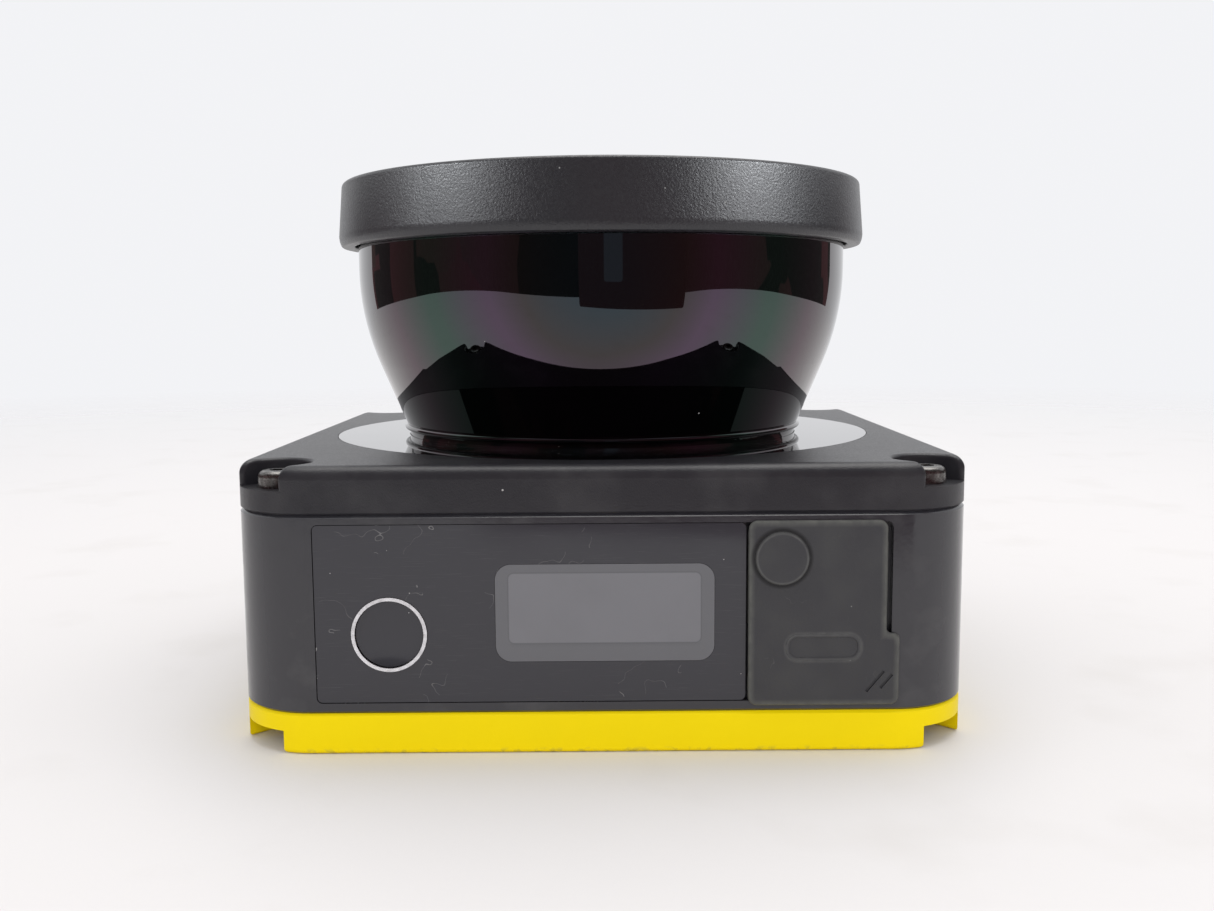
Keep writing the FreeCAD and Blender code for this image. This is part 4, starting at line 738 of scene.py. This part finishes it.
thread_root, ridge, pitch_length, ridge_turns = 0.00597, 0.00034, 0.0009, 8
for side, name in ((-1, "left_plug_thread"), (1, "right_plug_thread")):
    thread = begin(name, bpy.ops.mesh.primitive_circle_add, vertices=3, radius=ridge, fill_type="NGON",
                   location=(thread_root, 0, 0))
    bpy.ops.transform.rotate(value=math.pi / 2, orient_axis="Z", center_override=(thread_root, 0, 0))
    bpy.ops.object.mode_set(mode="OBJECT")
    wind = thread.modifiers.new("wind", "SCREW")
    wind.axis = "Y"
    wind.angle = 2 * math.pi
    wind.screw_offset = pitch_length
    wind.iterations = ridge_turns
    wind.steps = wind.render_steps = 48
    bpy.ops.object.modifier_apply(modifier="wind")
    bpy.ops.object.mode_set(mode="EDIT")
    bpy.ops.mesh.select_all(action="SELECT")
    bpy.ops.transform.translate(value=(side * 0.0125, 0.0424, 0.019))
    bpy.ops.mesh.normals_make_consistent(inside=False)
    bpy.ops.object.mode_set(mode="OBJECT")
    bpy.ops.object.shade_smooth_by_angle(angle=math.radians(35))
    thread.data.materials.append(nickel.material)
    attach(thread, "enclosure")

gold = Finish("gilt_contact", (0.86, 0.62, 0.24), 0.22, 1.0)
gold.set("Base Color", gold.mix(gold.noise(0.0006), gold.colour, (0.72, 0.50, 0.18, 1.0)))
gold.set("Roughness", gold.ramp(gold.noise(0.0003), 0.3, 0.7, 0.16, 0.32))
gold.coat("connector_pins")


# ================================================================ bright steel
# Turned and ground steel pieces, left bare: the plugs' nuts, the mounting inserts, the bearings with
# their balls, the rotor's hub, bell and slotted disc, the socket's shell and the small screws inside.
steel = Finish("bright_steel", (0.62, 0.61, 0.60), 0.28, 1.0)
lathe = steel.tooled(250, 5000)
steel.set("Roughness", steel.ramp(lathe, 0.3, 0.7, 0.2, 0.38) + steel.noise(0.001) * 0.08)
steel.set("Base Color", steel.mix(steel.noise(0.003), steel.colour, (0.50, 0.49, 0.48, 1.0)))
steel.relief(lathe, 0.000008)
steel.coat("connector_nuts", "thread_inserts", "bearing_outer_rings", "bearing_inner_rings", "bearing_balls",
           "rotor_hub", "rotor_bell", "encoder_disc", "usb_socket", "board_screws", "chassis_screws",
           "front_board_screws")


# ================================================================ seals
# Black rubber gaskets pressed between the castings, round the hood's foot and under its cap, and behind
# the plugs. The rubber has a dull skin with a grey bloom.
seal = Finish("seal_rubber", (0.022, 0.022, 0.022), 0.7)
seal.set("Base Color", seal.shade(seal.ramp(seal.noise(0.002, 4.0), 0.4, 0.7, 0.0, 1.0), 1.8))
seal.set("Roughness", seal.ramp(seal.noise(0.001), 0.3, 0.7, 0.6, 0.8))
seal.relief(seal.noise(0.0003), 0.00002)
seal.coat("base_gasket", "cover_gasket", "hood_seal", "cap_seal", "connector_seals")


# ================================================================ circuit boards
# Fibreglass boards under green solder mask, with tracks faintly raised under it, and their black
# moulded chips, aluminium cans, and milky light-emitting diodes.
mask = Finish("solder_mask", (0.010, 0.085, 0.040), 0.3)
tracks = mask.node("ShaderNodeTexVoronoi", {"distance": "MANHATTAN"}, {"Vector": mask.place, "Scale": 420.0},
                   "Distance")
track = mask.ramp(tracks, 0.50, 0.56, 0.0, 1.0)
mask.set("Base Color", mask.mix(track, mask.colour, (0.020, 0.14, 0.06, 1.0)))
mask.set("Roughness", mask.ramp(mask.noise(0.003), 0.3, 0.7, 0.24, 0.36))
mask.relief(track, 0.00003)
mask.coat("main_board", "front_board", "status_board", "detector_board")

epoxy = Finish("chip_epoxy", (0.020, 0.020, 0.021), 0.55)
epoxy.set("Base Color", epoxy.shade(epoxy.noise(0.0004, 4.0), 1.8))
epoxy.set("Roughness", epoxy.ramp(epoxy.noise(0.0008), 0.3, 0.7, 0.45, 0.65))
epoxy.relief(epoxy.noise(0.0002), 0.00002)
epoxy.coat("board_chips", "switch_body", "encoder_sensor")

can = Finish("can_metal", (0.72, 0.72, 0.73), 0.3, 1.0)
can.set("Base Color", can.mix(can.noise(0.0008, 4.0), can.colour, (0.55, 0.55, 0.56, 1.0)))
can.set("Roughness", can.ramp(can.noise(0.0005), 0.3, 0.7, 0.22, 0.4))
can.relief(can.noise(0.0003), 0.00001)
can.coat("board_capacitors", "laser_diode", "detector_can")

led = Finish("led_lens", (0.75, 0.76, 0.70), 0.35, Subsurface_Weight=0.2)
led.set("Base Color", led.mix(led.noise(0.0006), led.colour, (0.62, 0.64, 0.52, 1.0)))
led.set("Roughness", led.ramp(led.noise(0.0003), 0.3, 0.7, 0.28, 0.45))
led.coat("status_leds")


# ================================================================ chassis and motor
# Turned aluminium deck, lens barrel and mirror holder, with a brass laser tube and balance weight. The
# motor is a stack of steel sheets with enamelled copper coils, between plated magnets.
aluminium = Finish("turned_aluminium", (0.70, 0.71, 0.72), 0.34, 1.0)
tool = aluminium.tooled(200, 6000)
aluminium.set("Base Color", aluminium.mix(aluminium.noise(0.004, 4.0), aluminium.colour,
                                          (0.58, 0.59, 0.60, 1.0)))
aluminium.set("Roughness", aluminium.ramp(tool, 0.3, 0.7, 0.26, 0.44))
aluminium.relief(tool, 0.00001)
aluminium.coat("chassis", "lens_barrel", "mirror_holder")

brass = Finish("insert_brass", (0.72, 0.52, 0.22), 0.3, 1.0)
turning = brass.tooled(300, 4000)
brass.set("Roughness", brass.ramp(turning, 0.3, 0.7, 0.22, 0.42))
brass.set("Base Color", brass.mix(brass.noise(0.002), brass.colour, (0.60, 0.42, 0.17, 1.0)))
brass.relief(turning, 0.00001)
brass.coat("laser_tube", "balance_weight")

sheets = Finish("lamination_stack", (0.30, 0.30, 0.31), 0.42, 1.0)
sheet_gap = sheets.ramp((sheets.along("Z") * 12566.0).wave(), -0.95, -0.7, 0.0, 1.0)
sheets.set("Base Color", sheets.mix(sheet_gap, (0.08, 0.08, 0.08, 1.0), sheets.colour))
sheets.set("Roughness", sheets.ramp(sheets.noise(0.001), 0.3, 0.7, 0.35, 0.5))
sheets.relief(sheet_gap, 0.00004)
sheets.coat("stator_core")

copper = Finish("enamelled_copper", (0.62, 0.24, 0.09), 0.25, 0.9, Coat_Weight=0.5, Coat_Roughness=0.1)
turns = copper.ramp((copper.along("Z") * 20944.0).wave(), -1.0, 1.0, 0.0, 1.0)
copper.set("Base Color", copper.mix(turns, (0.30, 0.09, 0.03, 1.0), copper.colour))
copper.set("Roughness", copper.ramp(copper.noise(0.0006), 0.3, 0.7, 0.2, 0.34))
copper.relief(turns, 0.00008)
copper.coat("stator_coils")

magnet = Finish("plated_magnet", (0.48, 0.48, 0.50), 0.24, 1.0)
magnet.set("Base Color", magnet.mix(magnet.noise(0.001, 4.0), magnet.colour, (0.36, 0.36, 0.37, 1.0)))
magnet.set("Roughness", magnet.ramp(magnet.noise(0.0007), 0.3, 0.7, 0.18, 0.32))
magnet.coat("rotor_magnets")


# ================================================================ optics
# Coated glass lenses of the receiver and the laser, ground and glued in their barrels, and the
# front-silvered scan mirror, held on its slope by the mirror holder.
lens = Finish("lens_glass", (0.86, 0.90, 0.93), 0.02, Transmission_Weight=0.85, IOR=1.52, Coat_Weight=0.4)
lens.set("Base Color", lens.mix(lens.noise(0.006), lens.colour, (0.78, 0.86, 0.92, 1.0)))
lens.set("Roughness", lens.ramp(lens.noise(0.004), 0.3, 0.7, 0.01, 0.04))
lens.coat("receiver_lens", "laser_lens")

mirror = Finish("mirror_face", (0.90, 0.90, 0.91), 0.02, 1.0)
mirror.set("Base Color", mirror.mix(mirror.noise(0.008, 4.0), mirror.colour, (0.84, 0.84, 0.86, 1.0)))
mirror.set("Roughness", mirror.ramp(mirror.noise(0.005, 4.0), 0.4, 0.8, 0.012, 0.05))
mirror.coat("scan_mirror")
